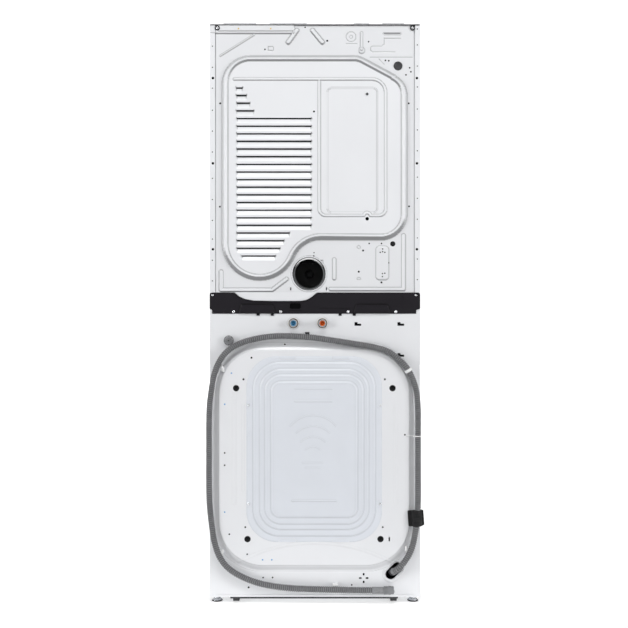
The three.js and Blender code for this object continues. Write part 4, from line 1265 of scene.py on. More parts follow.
def base_trim():
    """A dark rail under the back panel, two black skid blocks, painted shadow under the top cover, and its
    ridges.
    """
    rail = Shape().block(-271, 276, 343.0, 349.6, 15.2, 20.8, 0.6)
    for x in (257, -257):
        rail.block(x - 11, x + 11, 300.0, 341.5, 4.6, 20.4, 2.0)
        rail.block(x - 6, x + 6, 338.0, 344.0, 8.0, 20.6, 1.2)
        rail.turn([(0, 340), (3.0, 340), (3.0, 345.5), (2.4, 346), (0, 346)], (x, 0, 12), "y", 16)
    rail.piece("base_rear_trim", DARK, crease=30)
    # A black strip in the gap under the top cover: painted shadow.
    gap = Shape().block(-341, 341, 346.0, 352.4, 1883.6, 1886.4, 0.4)
    gap.piece("top_cover_gap_shadow", RUBBER, smooth=False)
    ridges = Shape()
    for x0, x1 in ((191, 299), (25, 149), (-177, -126), (-291, -219)):
        ridges.block(x0, x1, 120.0, 349.5, 1887.0, 1891.0, 1.1)
    ridges.piece("top_cover_ridges", ZINC, crease=30)


base_trim()


# ------------------------------------------------------------------ doors
WASHER_AXIS, DRYER_AXIS = 440.0, 1470.0      # heights of the two drums' axes
DOORS = {"washer": WASHER_AXIS, "dryer": DRYER_AXIS}
HINGE_X, HINGE_Y = -250.0, -350.0
NOTCH = 9.3                                  # half the finger notch's angle, in degrees
NOTCH_Y = -366.0                             # how far back the rim goes in the notch
NOTCH_EDGES = tuple(sign * NOTCH + side for sign in (-1, 1) for side in (-0.01, 0.01))
# Cross-sections of turned parts are lists of [radius, place along the axis].
RIM = [(206, -384.2), (210, -385), (215, -384.8), (224, -381.6), (231, -376.6), (234, -373.4), (235, -369),
       (235, -344), (234, -341.5), (231, -341.5), (231, -370), (213, -381.2), (206, -381.4)]
BEZEL = [(152, -371), (156, -374.6), (163, -378), (170, -380), (190, -382.4), (205.6, -384), (205.6, -381.4),
         (190, -379), (172, -376.5), (156, -368.5), (156, -341.5), (152, -341.5)]
DOOR_BUFFER = [(220, -343.5), (226, -343.5), (227, -341.6), (223, -340.6), (219, -341.6)]
WASHER_BOWL = [(0, -292), (60, -292.6), (95, -294), (110, -297), (122, -302), (133, -310), (140, -320),
               (144.4, -332), (147, -345), (149, -358), (150.6, -364), (150.6, -369), (146, -369),
               (144.6, -358), (143, -345), (140, -332), (136, -322), (129, -313), (119, -306), (107, -301),
               (94, -298.5), (60, -297), (0, -296.5)]
DRYER_PANE = [(0, -350), (50, -349.6), (100, -348.5), (130, -346.8), (149, -345), (150.4, -345.6),
              (150.4, -349.4), (149, -350), (130, -351.8), (100, -353.5), (50, -354.6), (0, -355)]


def around(axis_z, degrees, radius, y=0.0, x=0.0):
    """A point at an angle round an axis along Y, counted from +X towards +Z."""
    angle = math.radians(degrees)
    return (x + radius * math.cos(angle), y, axis_z + radius * math.sin(angle))


def radial(axis_z, degrees, out, across, x=0.0):
    """[x, z] of a point so far out and across, at an angle round an axis along Y."""
    turn = math.radians(degrees)
    return (x + out * math.cos(turn) - across * math.sin(turn),
            axis_z + out * math.sin(turn) + across * math.cos(turn))


def door_ring(name, axis_z, part, section, material, slot, edges=(), **options):
    """A ring round a door whose cross-section may change with the angle."""
    angles = sorted(set(list(np.arange(-180, 180, 3.0)) + list(edges)))
    rings = [[around(axis_z, degrees, r, y) for r, y in section(degrees)] for degrees in angles]
    return Shape().put(*loft(rings, closed=True)).piece(
        name + part, material, name + "_door", slot=slot, crease=40, **options)


def door_hinge(name, axis_z):
    """Two knuckles on the pin, each with its strap and its plate."""
    hinge = Shape()
    for sign in (-1, 1):
        low, high = sorted((axis_z + sign * 20, axis_z + sign * 56))
        knuckle = [(3.7, low), (6.0, low), (7.0, low + 1), (7.0, high - 1), (6.0, high), (3.7, high)]
        hinge.turn(knuckle, (HINGE_X, HINGE_Y, 0), "z", 28)
        hinge.block(HINGE_X + 5, -226, HINGE_Y - 6, HINGE_Y + 6, low, high, 1.2)
        hinge.block(-231, -224, HINGE_Y - 7, HINGE_Y + 7, low - 5, high + 5, 1.5)
    hinge.piece(name + "_door_hinge", BRIGHT, name + "_door", crease=35)


def door(name, axis_z):
    """Bright rim with a finger notch, dark bezel, hinge, rubber buffer and latch."""
    def notched(degrees):
        return [(r, min(y, NOTCH_Y)) if abs(degrees) < NOTCH else (r, y) for r, y in RIM]

    door_ring(name, axis_z, "_door_rim", notched, CHROME, "chrome", NOTCH_EDGES,
              stands_for=name + "_door_frame")
    door_ring(name, axis_z, "_door_bezel", lambda _degrees: BEZEL, DARK, "dark_plastic")
    door_hinge(name, axis_z)
    pad = Shape().turn(DOOR_BUFFER, (0, 0, axis_z), "y", 96)
    pad.piece(name + "_door_buffer", GASKET, name + "_door")
    catch = Shape().block(206, 218, -372, -346, axis_z - 60, axis_z - 46, 1.2)
    hook = [(212, -348, axis_z - 53), (212, -338, axis_z - 53), (219, -336.5, axis_z - 53)]
    catch.sweep(hook, lambda _k: circle(2.6, 10))
    catch.piece(name + "_door_latch", BRIGHT, name + "_door", crease=35)


for door_name, door_axis in DOORS.items():
    door(door_name, door_axis)


def window(name, profile, material):
    """The moulded pane of one door."""
    glass = Shape().turn(profile, (0, 0, DOORS[name]), "y", 96)
    glass.piece(name + "_window", material, name + "_door", stands_for=name + "_door_glass",
                slot="door_glass")


window("washer", WASHER_BOWL, GLASS)
window("dryer", DRYER_PANE, SMOKE)


def gasket():
    """Bellows between the cabinet's mouth and the tub."""
    profile = [(189.4, -337.5), (189.6, -330), (189.4, -316), (187, -312), (183, -310), (182.6, -308.6),
               (186, -307), (187, -306), (184, -303), (180.6, -301), (180.2, -287), (177, -287), (177, -303),
               (179.6, -305.6), (183, -307), (181.6, -308.6), (179, -309), (174, -310.4), (170, -313),
               (166.6, -320), (166, -328), (167.4, -334), (170, -337.5), (179, -338.4)]
    piece = Shape().turn(profile, (0, 0, WASHER_AXIS), "y", 96)
    piece = piece.piece("mouth_bellows", GASKET, None, stands_for="door_gasket", slot="grey_rubber")
    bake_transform(piece)


gasket()


# ------------------------------------------------------------------ drums
SHEET = 1.5
VANES = 3
VANE_CLEAR = 8.5                             # degrees either side of a vane without holes
WASHER_DRUM_BACK, DRYER_DRUM_BACK = 150, 225
DRYER_DRUM_R = 290


def shell_profile(wall, mouth, front, back, hub, beads):
    """Outside from mouth to hub, then the inside back to the mouth."""
    inner = wall - SHEET

    def groove(radius, y):
        return [(radius, y - 5), (radius - 1.6, y - 2), (radius - 1.6, y + 2), (radius, y + 5)]

    outside = [(mouth, front + 1.2), (mouth + 1.5, front), (wall - 5, front), (wall - 1.4, front + 1.4),
               (wall, front + 5)]
    outside += [point for y in beads for point in groove(wall, y)]
    outside += [(wall, back - 5), (wall - 1.4, back - 1.4), (wall - 5, back), (wall * 0.72, back),
                (wall * 0.69, back - 3), (wall * 0.36, back - 3), (wall * 0.33, back), (hub, back)]
    rear = [(hub, back - SHEET), (wall * 0.33, back - SHEET), (wall * 0.36, back - SHEET - 3),
            (wall * 0.69, back - SHEET - 3), (wall * 0.72, back - SHEET), (inner - 5, back - SHEET),
            (inner - 1.4, back - SHEET - 1.4), (inner, back - 6)]
    inside = [point for y in beads for point in groove(inner, y)][::-1]
    lip = [(inner, front + 5), (inner - 1.4, front + 2.2), (inner - 5, front + SHEET),
           (mouth + 1.5, front + SHEET)]
    return outside + rear + inside + lip


def lifting_vane(wall, height, front, back, axis_z, degrees):
    """A rounded fin inside the drum, tapered at both ends."""
    half = [(-36, wall - 4), (-26, wall - 9), (-17, wall - 24), (-13, wall - height + 9),
            (-8, wall - height + 2), (0, wall - height)]
    outline = half + [(-across, out) for across, out in half[-2::-1]]
    stations = [(front + 30, 0.86), (front + 42, 1.0), (back - 20, 1.0), (back - SHEET / 2, 0.9)]
    rings = []
    for y, share in stations:
        ring = []
        for across, out in outline:
            x, z = radial(axis_z, degrees, wall - 4 - (wall - 4 - out) * share, across)
            ring.append((x, y, z))
        rings.append(ring)
    return loft(rings)


def vane_holes(marks, out, front, back, axis_z, degrees):
    """A row of drops' holes along a vane's crest, as dark discs of painted shade."""
    for y in np.arange(front + 60, back - 30, 34):
        ring = [(radial(axis_z, degrees, out, a * 0.8), y + b) for a, b in circle(3.2, 10)]
        marks.put([(x, along, z) for (x, z), along in ring], [tuple(range(10))])


def wall_holes(marks, wall, front, back, axis_z, beads, columns, pitch, size):
    """Staggered rows of punched holes as dark discs of painted shade, clear of the beads and of the vanes."""
    rows = [(row, y) for row, y in enumerate(np.arange(front + 24, back - 16, pitch))
            if all(abs(y - bead_y) >= 7 for bead_y in beads)]
    for column in range(columns):
        for row, y in rows:
            degrees = 360.0 * (column + 0.5 * (row % 2)) / columns
            from_vane = degrees % (360 / VANES)
            if min(from_vane, 360 / VANES - from_vane) < VANE_CLEAR:
                continue
            for radius in (wall - SHEET - 0.2, wall + 0.2):
                marks.put([around(axis_z, degrees + math.degrees(a / radius), radius, y + b)
                           for a, b in circle(size, 8)], [tuple(range(8))])


def back_holes(marks, wall, back, axis_z):
    """Six radial rows of holes in the drum's back, as dark discs of painted shade."""
    for k in range(6):
        for radius in np.arange(wall * 0.42, wall * 0.66, 9.0):
            x, _, z = around(axis_z, 60 * k + 30, radius)
            marks.put([(x + a, back - SHEET - 3.3, z + b) for a, b in circle(2.6, 8)], [tuple(range(8))])


def drum(body, wall, mouth, front, back, hub, axis_z, vane, beads, holes):
    """Rolled shell with inward beads and a dished back, lifting vanes and punched holes as dark discs of
    painted shade.
    """
    shell = Shape().turn(shell_profile(wall, mouth, front, back, hub, beads), (0, 0, axis_z), "y", 96)
    shell.piece(body + "_shell", STEEL, body, stands_for=body, slot="stainless", crease=40)
    fins, marks = Shape(), Shape()
    for k in range(VANES):
        degrees = 360 / VANES * k
        fins.put(*lifting_vane(wall, vane, front, back, axis_z, degrees))
        vane_holes(marks, wall - vane - 0.25, front, back, axis_z, degrees)
    fins.piece(body + "_vanes", STEEL, body, slot="stainless", crease=30)
    wall_holes(marks, wall, front, back, axis_z, beads, *holes)
    back_holes(marks, wall, back, axis_z)
    # The holes are flat near-black discs: painted shade in place of cut holes.
    marks.piece(body + "_perforation_shadow", HOLE, body, smooth=False)


# The holes are given as columns round the wall, pitch along it, and radius.
drum("washer_drum", wall=268, mouth=186, front=-262, back=WASHER_DRUM_BACK, hub=17.6, axis_z=WASHER_AXIS,
     vane=60, beads=(-215, -60, 95), holes=(40, 15.0, 1.9))
drum("dryer_drum", wall=DRYER_DRUM_R, mouth=215, front=-300, back=DRYER_DRUM_BACK, hub=12.8,
     axis_z=DRYER_AXIS, vane=70, beads=(-225, -110, 30, 150), holes=(28, 34.0, 1.6))


def drum_caps():
    """Covers over the hubs, seen through the doors."""
    y = DRYER_DRUM_BACK - SHEET
    nose = [(0, y - 9), (14, y - 8.6), (24, y - 6), (30, y - 1.6), (34, y - 0.4), (34, y - 0.1),
            (12.9, y - 0.1), (12.9, y - 3), (0, y - 3)]
    cap = Shape().turn(nose, (0, 0, DRYER_AXIS), "y", 48)
    cap.piece("dryer_drum_nose", GLOSS_WHITE, "dryer_drum", crease=40)
    y = WASHER_DRUM_BACK - SHEET
    dish = [(0, y - 10), (22, y - 9), (34, y - 5), (40, y - 0.6), (40, y - 0.1), (17.7, y - 0.1),
            (17.7, y - 2), (0, y - 2)]
    hub = Shape().turn(dish, (0, 0, WASHER_AXIS), "y", 48)
    head = [(0, y - 9.4), (3.2, y - 9.4), (3.4, y - 7.6), (3.4, y - 5), (0, y - 5)]
    for k in range(3):
        hub.turn(head, around(WASHER_AXIS, 120 * k + 60, 27), "y", 6)
    hub.piece("washer_drum_hub_cap", STEEL, "washer_drum", crease=40)


drum_caps()


# ------------------------------------------------------------------ washer drive
def stand_in(node, material, body, shape, slot, crease=38):
    """A finer piece in the place of one CAD node."""
    return shape.piece(node + "_body", material, body, stands_for=node, slot=slot, crease=crease)


def bar(shape, corners, y0, y1):
    """A four-sided bar along Y through four [x, z] corners."""
    shape.put(*loft([[(x, y, z) for x, z in corners] for y in (y0, y1)]))


def shaft_bearing():
    profile = [(17.6, 168), (22, 168), (22.6, 169.4), (27, 169.4), (27.6, 168), (31.8, 168), (31.8, 188),
               (27.6, 188), (27, 186.6), (22.6, 186.6), (22, 188), (17.6, 188)]
    stand_in("shaft_bearing", BRIGHT, "tub", Shape().turn(profile, (0, 0, WASHER_AXIS), "y", 64),
             "zinc_steel")


def stator():
    """A wound ring: copper coils on a core, with a dark rim."""
    coils = Shape().turn([(60, 190.4), (70, 190.4), (70, 228), (60, 228)], (0, 0, WASHER_AXIS), "y", 64)
    for k in range(24):
        coil = [radial(WASHER_AXIS, 15 * k, *p) for p in ((70, -6), (112, -8), (112, 8), (70, 6))]
        bar(coils, coil, 192.0, 226.5)
    stand_in("motor_stator", COPPER, "tub", coils, "copper_steel")
    rim = Shape().turn([(112, 190.6), (118, 190.6), (118, 227.4), (112, 227.4)], (0, 0, WASHER_AXIS),
                       "y", 72)
    rim.piece("stator_rim", DARK, "tub", crease=35)


def rotor():
    """A pressed dish with a ring of rivets."""
    profile = [(17.6, 234), (60, 234), (66, 230.6), (120, 230.6), (126, 234), (143, 234), (145, 232),
               (145, 200), (150, 200), (150, 236), (147, 240), (126, 240), (120, 236.6), (66, 236.6),
               (60, 240), (17.6, 240)]
    dish = Shape().turn(profile, (0, 0, WASHER_AXIS), "y", 96)
    rivet = [(0, 239.4), (9, 239.4), (9, 241.2), (6.6, 241.8), (0, 241.8)]
    for k in range(24):
        dish.turn(rivet, around(WASHER_AXIS, 15 * k, 98), "y", 14)
    stand_in("motor_rotor", ZINC, "washer_drum", dish, "galvanised")


def tub_ribs():
    """Stiffening ribs on the tub's back; every third one is lower and longer."""
    ribs = Shape()
    for k in range(18):
        start, top = (126, 196.0) if k % 3 else (122, 194.0)
        rib = [radial(WASHER_AXIS, 20 * k + 10, *p)
               for p in ((start, -1.6), (290, -1.6), (290, 1.6), (start, 1.6))]
        bar(ribs, rib, 190.2, top)
    ribs.piece("tub_back_ribs", TUB, "tub", smooth=False)


shaft_bearing()
stator()
rotor()
tub_ribs()


# ------------------------------------------------------------------ suspension
SIDES = (("left", -1), ("right", 1))
HANGER_Y = -40.0


def suspension_spring(side, x):
    """A coil that stretches between the cabinet and the tub."""
    y, low, high = HANGER_Y, 641.0, 965.6
    turns, wire, radius = 24, 1.9, 10.4
    path = [(x, y, low + 0.6), (x, y, low + 8)]
    steps = turns * 14
    for k in range(steps + 1):
        angle = 2 * math.pi * turns * k / steps
        reach = radius * min(1.0, k / 8, (steps - k) / 8)
        z = low + 12 + (high - low - 24) * k / steps
        path.append((x + reach * math.cos(angle), y + reach * math.sin(angle), z))
    path += [(x, y, high - 8), (x, y, high - 0.6)]
    coil = Shape().sweep(path, lambda _k: circle(wire, 8))
    coil = coil.piece("suspension_coil_" + side, BRIGHT, None, stands_for="suspension_spring_" + side,
                      slot="zinc_steel")
    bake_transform(coil)


def damper(side, x):
    """A friction damper: its tube stays with the cabinet, its rod with the tub."""
    y = HANGER_Y
    profile = [(0, 23.5), (9, 23.5), (11.4, 25), (12, 28), (12, 118), (11.2, 120), (12, 122), (12, 128),
               (10.6, 130), (6.6, 130), (6.6, 60), (0, 60)]
    tube = Shape().turn(profile, (x, y, 0), "z", 32)
    tube.turn([(0, x - 9), (5, x - 9), (5, x + 9), (0, x + 9)], (0, y, 30), "x", 20)
    tube.piece("damper_tube_" + side, GREY, "cabinet", stands_for="damper_" + side, slot="grey_plastic",
               crease=35)
    rod = [(0, 70), (5.6, 70), (6, 71), (6, 196), (7.4, 198), (7.4, 203), (6.4, 204), (0, 204)]
    Shape().turn(rod, (x, y, 0), "z", 28).piece("damper_rod_" + side, BRIGHT, "tub", crease=35)


for side_name, side_sign in SIDES:
    suspension_spring(side_name, side_sign * 250.0)
    damper(side_name, side_sign * 200.0)


# ------------------------------------------------------------------ dryer drive
MOTOR_X, MOTOR_Z = 19.4, 1080.0
MOTOR_AXIS = (MOTOR_X, 0, MOTOR_Z)
ROLLER_X, ROLLER_R = 150.0, 28.0
ROLLER_Z = DRYER_AXIS - math.sqrt((DRYER_DRUM_R + ROLLER_R + 0.4) ** 2 - ROLLER_X ** 2)


def drum_roller(side, x):
    """A rubber tyre on a white hub."""
    tyre = [(14, -288), (26.6, -288), (28, -286.4), (28, -267.6), (26.6, -266), (14, -266)]
    stand_in("drum_roller_" + side, RUBBER, "roller_" + side,
             Shape().turn(tyre, (x, 0, ROLLER_Z), "y", 48), "black_rubber")
    hub = [(5.5, -287), (14, -287), (14, -282), (9, -279), (9, -275), (14, -272), (14, -267), (5.5, -267)]
    hub = Shape().turn(hub, (x, 0, ROLLER_Z), "y", 32)
    hub.piece("roller_hub_" + side, GLOSS_WHITE, "roller_" + side, crease=35)


def round_motor(shape, turn, corners, y0, y1):
    """A bar at an angle round the motor's axis, from [degrees, radius] corners."""
    points = [around(MOTOR_Z, turn + degrees, radius, x=MOTOR_X) for degrees, radius in corners]
    bar(shape, [(x, z) for x, _, z in points], y0, y1)


def blower_wheel():
    """A backplate with swept blades, a rim and a cap over the shaft's end."""
    plate = [(6.6, 150), (66, 150), (70, 152), (70, 155), (66, 156.4), (40, 154.4), (14, 154), (14, 166),
             (6.6, 166)]
    wheel = Shape().turn(plate, MOTOR_AXIS, "y", 64)
    blades = 28
    for k in range(blades):
        round_motor(wheel, 360.0 * k / blades, ((0, 52), (7, 68), (8.6, 68), (1.8, 52)), 154.5, 177.6)
    cap = [(0, 176.4), (6, 176.6), (12, 174), (13.6, 170), (14, 166.1), (6.7, 166.1), (6.7, 176.05),
           (0, 176.1)]
    wheel.turn(cap, MOTOR_AXIS, "y", 32)
    stand_in("blower_wheel", DARK, "drive_motor", wheel, "dark_plastic")
    rim = Shape().turn([(66, 173), (70, 173), (70, 178), (66, 178)], MOTOR_AXIS, "y", 64)
    rim.piece("blower_wheel_rim", DARK, "drive_motor", crease=35)


def motor_shaft():
    """The shaft with its grooved pulley."""
    profile = [(0, -52), (5, -52), (6, -51), (6, -50), (11.4, -50), (12, -49.2), (12, -47)]
    for k in range(6):
        y = -46 + 2.4 * k
        profile += [(12, y), (10.9, y + 0.8), (10.9, y + 1.2), (12, y + 2.0)]
    profile += [(12, -27), (11, -26), (6, -26), (6, 174), (5, 176), (0, 176)]
    stand_in("motor_shaft", BRIGHT, "drive_motor", Shape().turn(profile, MOTOR_AXIS, "y", 40),
             "zinc_steel")


def drum_motor():
    """A ribbed can on a cradle, open where the cradle holds it."""
    can = [(7, -18), (30, -18), (34, -14), (50, -12), (55, -6), (56, 2), (56, 82), (54, 92), (46, 98),
           (30, 100), (7, 100)]
    motor = Shape().turn(can, MOTOR_AXIS, "y", 64)
    for turn in range(0, 360, 18):
        if not 240 < turn < 300:
            round_motor(motor, turn, ((-2, 55), (-1.6, 59), (1.6, 59), (2, 55)), 2.0, 82.0)
    motor.block(MOTOR_X - 45, MOTOR_X + 45, 0, 80, 987.3, 993, 1.0)
    motor.block(MOTOR_X - 34, MOTOR_X + 34, 10, 70, 991, 1031, 2.0)
    stand_in("drum_motor", ZINC, "cabinet", motor, "galvanised")


def blower_housing():
    """A drawn pan with a ring of bosses."""
    pan = [(40, 120), (76, 120), (80, 121.4), (82, 125), (82, 187), (80, 190.6), (76, 192), (50, 192),
           (47, 190.4), (47, 189.5), (76, 189.5), (79.5, 186), (79.5, 126), (77, 122.5), (42, 122.5),
           (40, 121.5)]
    housing = Shape().turn(pan, MOTOR_AXIS, "y", 72)
    boss = [(0, 188), (3.4, 188), (3.4, 193), (2.6, 193.8), (0, 193.8)]
    for k in range(8):
        housing.turn(boss, around(MOTOR_Z, 45 * k + 22, 77, x=MOTOR_X), "y", 12)
    stand_in("blower_housing", ZINC, "cabinet", housing, "galvanised")


for side_name, side_sign in SIDES:
    drum_roller(side_name, side_sign * ROLLER_X)
blower_wheel()
motor_shaft()
drum_motor()
blower_housing()


def lint_screen():
    """Fine mesh in both windows of the lint filter."""
    screen = Shape()
    for middle in (-36, 36):
        for x in np.arange(middle - 28, middle + 29, 4.0):
            screen.block(x - 0.3, x + 0.3, -330.3, -329.7, 1156, 1262, 0.05)
        for z in np.arange(1158, 1262, 4.0):
            screen.block(middle - 30, middle + 30, -330.6, -330.0, z - 0.3, z + 0.3, 0.05)
    screen.piece("lint_filter_mesh", GREY, "lint_filter", slot="grey_plastic", smooth=False)


lint_screen()


# ------------------------------------------------------------------ controls
PANEL_FACE = -352.0
BUTTON_X = 90.0
CONTROL_ROWS = {"washer": 925.0, "dryer": 1010.0}
KNOB_FLUTES = 36


def knob(name, z):
    """A fluted grip with a brushed face and a dark pointer."""
    body = name + "_knob"
    # [radius, y, depth of the flutes]
    profile = [(0.0, -378.0), (22.0, -378.0), (25.0, -377.3), (26.2, -375.2, 0.25), (26.4, -372.0, 0.6),
               (26.4, -358.0, 0.6), (26.9, -354.0, 0.1), (26.9, -352.9), (4.5, -352.9), (4.5, -337.6),
               (3.9, -337.0), (0.0, -337.0)]
    grip = Shape().turn(profile, (0, 0, z), "y", 4 * KNOB_FLUTES, waves=KNOB_FLUTES)
    grip.piece(body + "_body", CHROME, body, stands_for=body, slot="chrome", crease=38)
    pointer = Shape().block(-1.4, 1.4, -379, -376.5, z + 11, z + 24.5, 0.5)
    pointer.piece(body + "_pointer", DARK, body, smooth=False)
    face = [(0, -378.3), (19.4, -378.3), (19.8, -378.0), (19.8, -377.8), (0, -377.8)]
    Shape().turn(face, (0, 0, z), "y", 64).piece(body + "_face", STEEL, body, crease=35)


def start_button(name, z):
    """A round cap with a play-and-pause sign."""
    node, body = name + "_start_button", name + "_button"
    cap = [(0, -355.0), (7.6, -355.0), (9.4, -354.4), (10, -353), (10, -348.5), (13, -348.5), (13, -346),
           (0, -346)]
    cap = Shape().turn(cap, (BUTTON_X, 0, z), "y", 56)
    cap.piece(node + "_cap", GLOSS_WHITE, body, stands_for=node, slot="white_plastic", crease=38)
    front, back = -355.25, -354.9
    sign = Shape().turn([(0, front), (2.6, front), (2.6, back), (0, back)], (88.6, 0, z), "y", 3)
    for x in (92.2, 94.3):
        sign.block(x, x + 0.9, front, back, z - 2.4, z + 2.4, 0.1)
    sign.piece(node + "_sign", DARK, body, smooth=False)


def panel_marks():
    """Ticks round the knobs, rings with dashes by the edge, and four plain digits' bars."""
    marks = Shape()

    def dash(x, z, half_x, half_z, front, back):
        marks.block(x - half_x, x + half_x, PANEL_FACE + front, PANEL_FACE + back, z - half_z,
                    z + half_z, 0.1)

    for z in CONTROL_ROWS.values():
        for k in range(14):
            tick = [around(z, 300 * k / 13 - 60, r, PANEL_FACE - 0.75) for r in (31.0, 34.5)]
            marks.sweep(tick, lambda _k: [(a * 0.55, b * 0.2) for a, b in circle(1.0, 6)])
    ring = [(r, PANEL_FACE + d) for r, d in ((5.4, -0.8), (6.2, -0.8), (6.2, -0.4), (5.4, -0.4))]
    for row in range(4):
        for x in (278, 308):
            z = 906 + 36 * row
            marks.turn(ring, (x, 0, z), "y", 28)
            dash(x, z, 3.0 - row * 0.5, 0.5, -0.8, -0.4)
    for x in range(166, 227, 20):
        for dz in (-8, 0, 8):
            dash(x, 969 + dz, 4, 0.7, -1.2, -0.9)
        for dx in (-5, 5):
            for dz in (-4, 4):
                dash(x + dx, 969 + dz, 0.7, 3, -1.2, -0.9)
    marks.piece("panel_marks", GLOSS_WHITE, smooth=False)


def fascia():
    """The glossy insert, in strips that leave the knobs and buttons free, and the display window."""
    shape = Shape()
    half = 14
    rows = [888] + [z + d for z in CONTROL_ROWS.values() for d in (-half, half)] + [1042]
    for z0, z1 in zip(rows[::2], rows[1::2]):
        shape.block(-150, 332, PANEL_FACE - 0.5, PANEL_FACE + 0.4, z0, z1, 0.2)
    for z in CONTROL_ROWS.values():
        for x0, x1 in ((-150, -6), (6, 76), (104, 332)):
            shape.block(x0, x1, PANEL_FACE - 0.5, PANEL_FACE + 0.4, z - half, z + half, 0.0)
    shape.piece("panel_fascia", PANEL_GLASS, smooth=False)
    display = Shape().block(150, 250, PANEL_FACE - 1.0, PANEL_FACE - 0.3, 946, 992, 0.3)
    display.piece("display_window", PANEL_GLASS, smooth=False)


for control_name, control_z in CONTROL_ROWS.items():
    knob(control_name, control_z)
    start_button(control_name, control_z)
fascia()
panel_marks()


def drawer_details():
    """The siphon insert in the drawer and its level lines."""
    insert = Shape()
    for x0, x1 in ((-308, -280), (-260, -230)):
        insert.block(x0, x1, -150, -118, 897, 902, 1.0)
    insert.block(-214, -178, -200, -130, 936, 941, 1.2)
    insert.turn([(0, 0), (6, -0.1), (6, 4), (4, 6), (0, 6)], (-196, -165, 941), "z", 24)
    insert.piece("drawer_siphon_insert", PALE_BLUE, "detergent_drawer", slot="white_plastic", crease=35)
    lines = Shape()
    for x in (-296, -246, -196):
        lines.block(x - 9, x + 9, -352.35, -351.9, 948, 949.2, 0.1)
    lines.piece("drawer_marks", GREY, "detergent_drawer", smooth=False)


def flap_catch():
    """The slotted turn-catch of the pump flap."""
    catch = Shape().turn([(0, -341.0), (8.4, -341.0), (9, -340.4), (9, -339.6), (0, -339.6)], (240, 0, 96),
                         "y", 40)
    catch.block(234, 246, -342.0, -340.6, 95, 97, 0.3)
    catch.piece("pump_flap_catch", GREY, "pump_flap", crease=35)


drawer_details()
flap_catch()


# ------------------------------------------------------------------ floor, backdrop and lights
def studio():
    """A wide pale floor that glows as painted light, brightest behind the tower as seen from the service
    side.
    """
    reach, sides = 14.0, 48
    verts = [(0.0, 0.0, 0.0)] + [(x, y, 0.0) for x, y in circle(reach, sides)]
    faces = [(0, 1 + k, 1 + (k + 1) % sides) for k in range(sides)]
    mesh = bpy.data.meshes.new("studio_floor")
    mesh.from_pydata(verts, [], faces)
    floor = bpy.data.objects.new("studio_floor", mesh)
    m = Nodes("floor_paper", (0.86, 0.86, 0.86), 0.9, specular=0.1)
    m.bump(m.noise(60.0, 3.0), 0.05, 0.001)
    # The floor glows: painted light, strongest behind the tower and far out, fading in front of the service
    # side, where its colour is greyer.
    m.shader.inputs["Emission Color"].default_value = (1.0, 1.0, 1.0, 1.0)
    parts = m.add("ShaderNodeSeparateXYZ")
    m.link(m.place, parts.inputs["Vector"])
    away = m.add("ShaderNodeVectorMath", operation="LENGTH")
    m.link(m.place, away.inputs[0])
    floor_glow = m.ramp(parts.outputs["Y"], 0.5, 1.0, 0.45, 0.0)
    distant = m.ramp(away.outputs["Value"], 2.5, 8.0, 0.0, 0.3)
    behind = m.ramp(parts.outputs["Y"], -3.0, 0.2, 1.0, 0.0)
    for part in (distant, behind):
        step = m.add("ShaderNodeMath", operation="ADD")
        m.link(floor_glow, step.inputs[0])
        m.link(part, step.inputs[1])
        floor_glow = step.outputs["Value"]
    m.link(floor_glow, m.shader.inputs["Emission Strength"])
    m.color(m.between(parts.outputs["Y"], 0.5, 1.1, (0.86, 0.86, 0.86), (0.5, 0.5, 0.5)))
    mesh.materials.append(m.material)
    bpy.context.collection.objects.link(floor)


def lamp(name, place, aim, size, power):
    data = bpy.data.lights.new(name, "AREA")
    data.shape = "RECTANGLE"
    data.size, data.size_y = size
    data.energy = power
    light = bpy.data.objects.new(name, data)
    light.location = place
    light.rotation_euler = (Vector(aim) - Vector(place)).to_track_quat("-Z", "Y").to_euler()
    bpy.context.collection.objects.link(light)


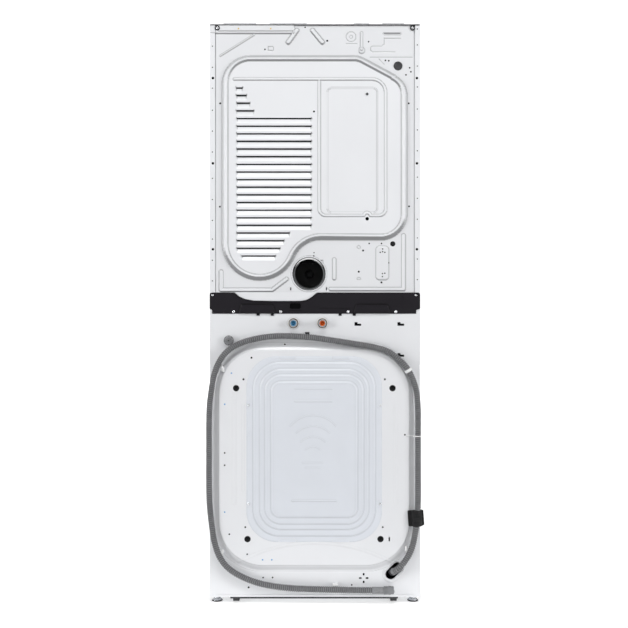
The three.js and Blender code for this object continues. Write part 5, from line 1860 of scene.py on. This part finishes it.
def lighting():
    """A white room behind the tower and a dim one before it, dark overhead, with two tall side
    lamps and a high soft lamp on the service side, and softer ones for the doors."""
    world = bpy.data.worlds.new("studio")
    world.use_nodes = True
    tree = world.node_tree
    back = tree.nodes["Background"]
    place = tree.nodes.new("ShaderNodeTexCoord")
    parts = tree.nodes.new("ShaderNodeSeparateXYZ")
    tree.links.new(place.outputs["Generated"], parts.inputs["Vector"])

    def level(source, low, high, a, b):
        node = tree.nodes.new("ShaderNodeMapRange")
        node.interpolation_type = "SMOOTHSTEP"
        tree.links.new(source, node.inputs["Value"])
        for socket, value in zip(("From Min", "From Max", "To Min", "To Max"), (low, high, a, b)):
            node.inputs[socket].default_value = value
        return node.outputs["Result"]

    def joined(first, second, operation):
        node = tree.nodes.new("ShaderNodeMath")
        node.operation = operation
        tree.links.new(first, node.inputs[0])
        tree.links.new(second, node.inputs[1])
        return node.outputs["Value"]

    room = joined(level(parts.outputs["Y"], -0.88, -0.76, 0.75, 0.0),
                  level(parts.outputs["Y"], 0.3, 0.75, 0.42, 0.26), "ADD")
    room = joined(room, level(parts.outputs["Y"], 0.78, 0.97, 0.0, 0.24), "ADD")
    overhead = level(parts.outputs["Z"], 0.4, 0.9, 1.0, 0.1)
    tree.links.new(joined(room, overhead, "MULTIPLY"), back.inputs["Strength"])
    back.inputs["Color"].default_value = (1.0, 1.0, 1.0, 1.0)
    bpy.context.scene.world = world
    lamp("high", (0.0, 3.5, 4.9), (0.0, 0.3, 1.2), (2.2, 0.9), 93.0)
    for name, side in (("side_left", 2.9), ("side_right", -2.9)):
        lamp(name, (side, 2.1, 1.45), (0.0, 0.3, 1.0), (0.8, 2.3), 51.0)
    lamp("front", (-1.2, -3.2, 2.8), (0.0, 0.0, 1.0), (2.6, 2.0), 8.0)
    lamp("front_side", (3.2, -2.2, 1.6), (0.0, 0.0, 1.0), (1.4, 2.2), 9.0)


studio()
lighting()
view_settings = bpy.context.scene.view_settings
view_settings.view_transform = "Standard"
view_settings.look = "None"
view_settings.exposure = 0.0
view_settings.gamma = 1.0
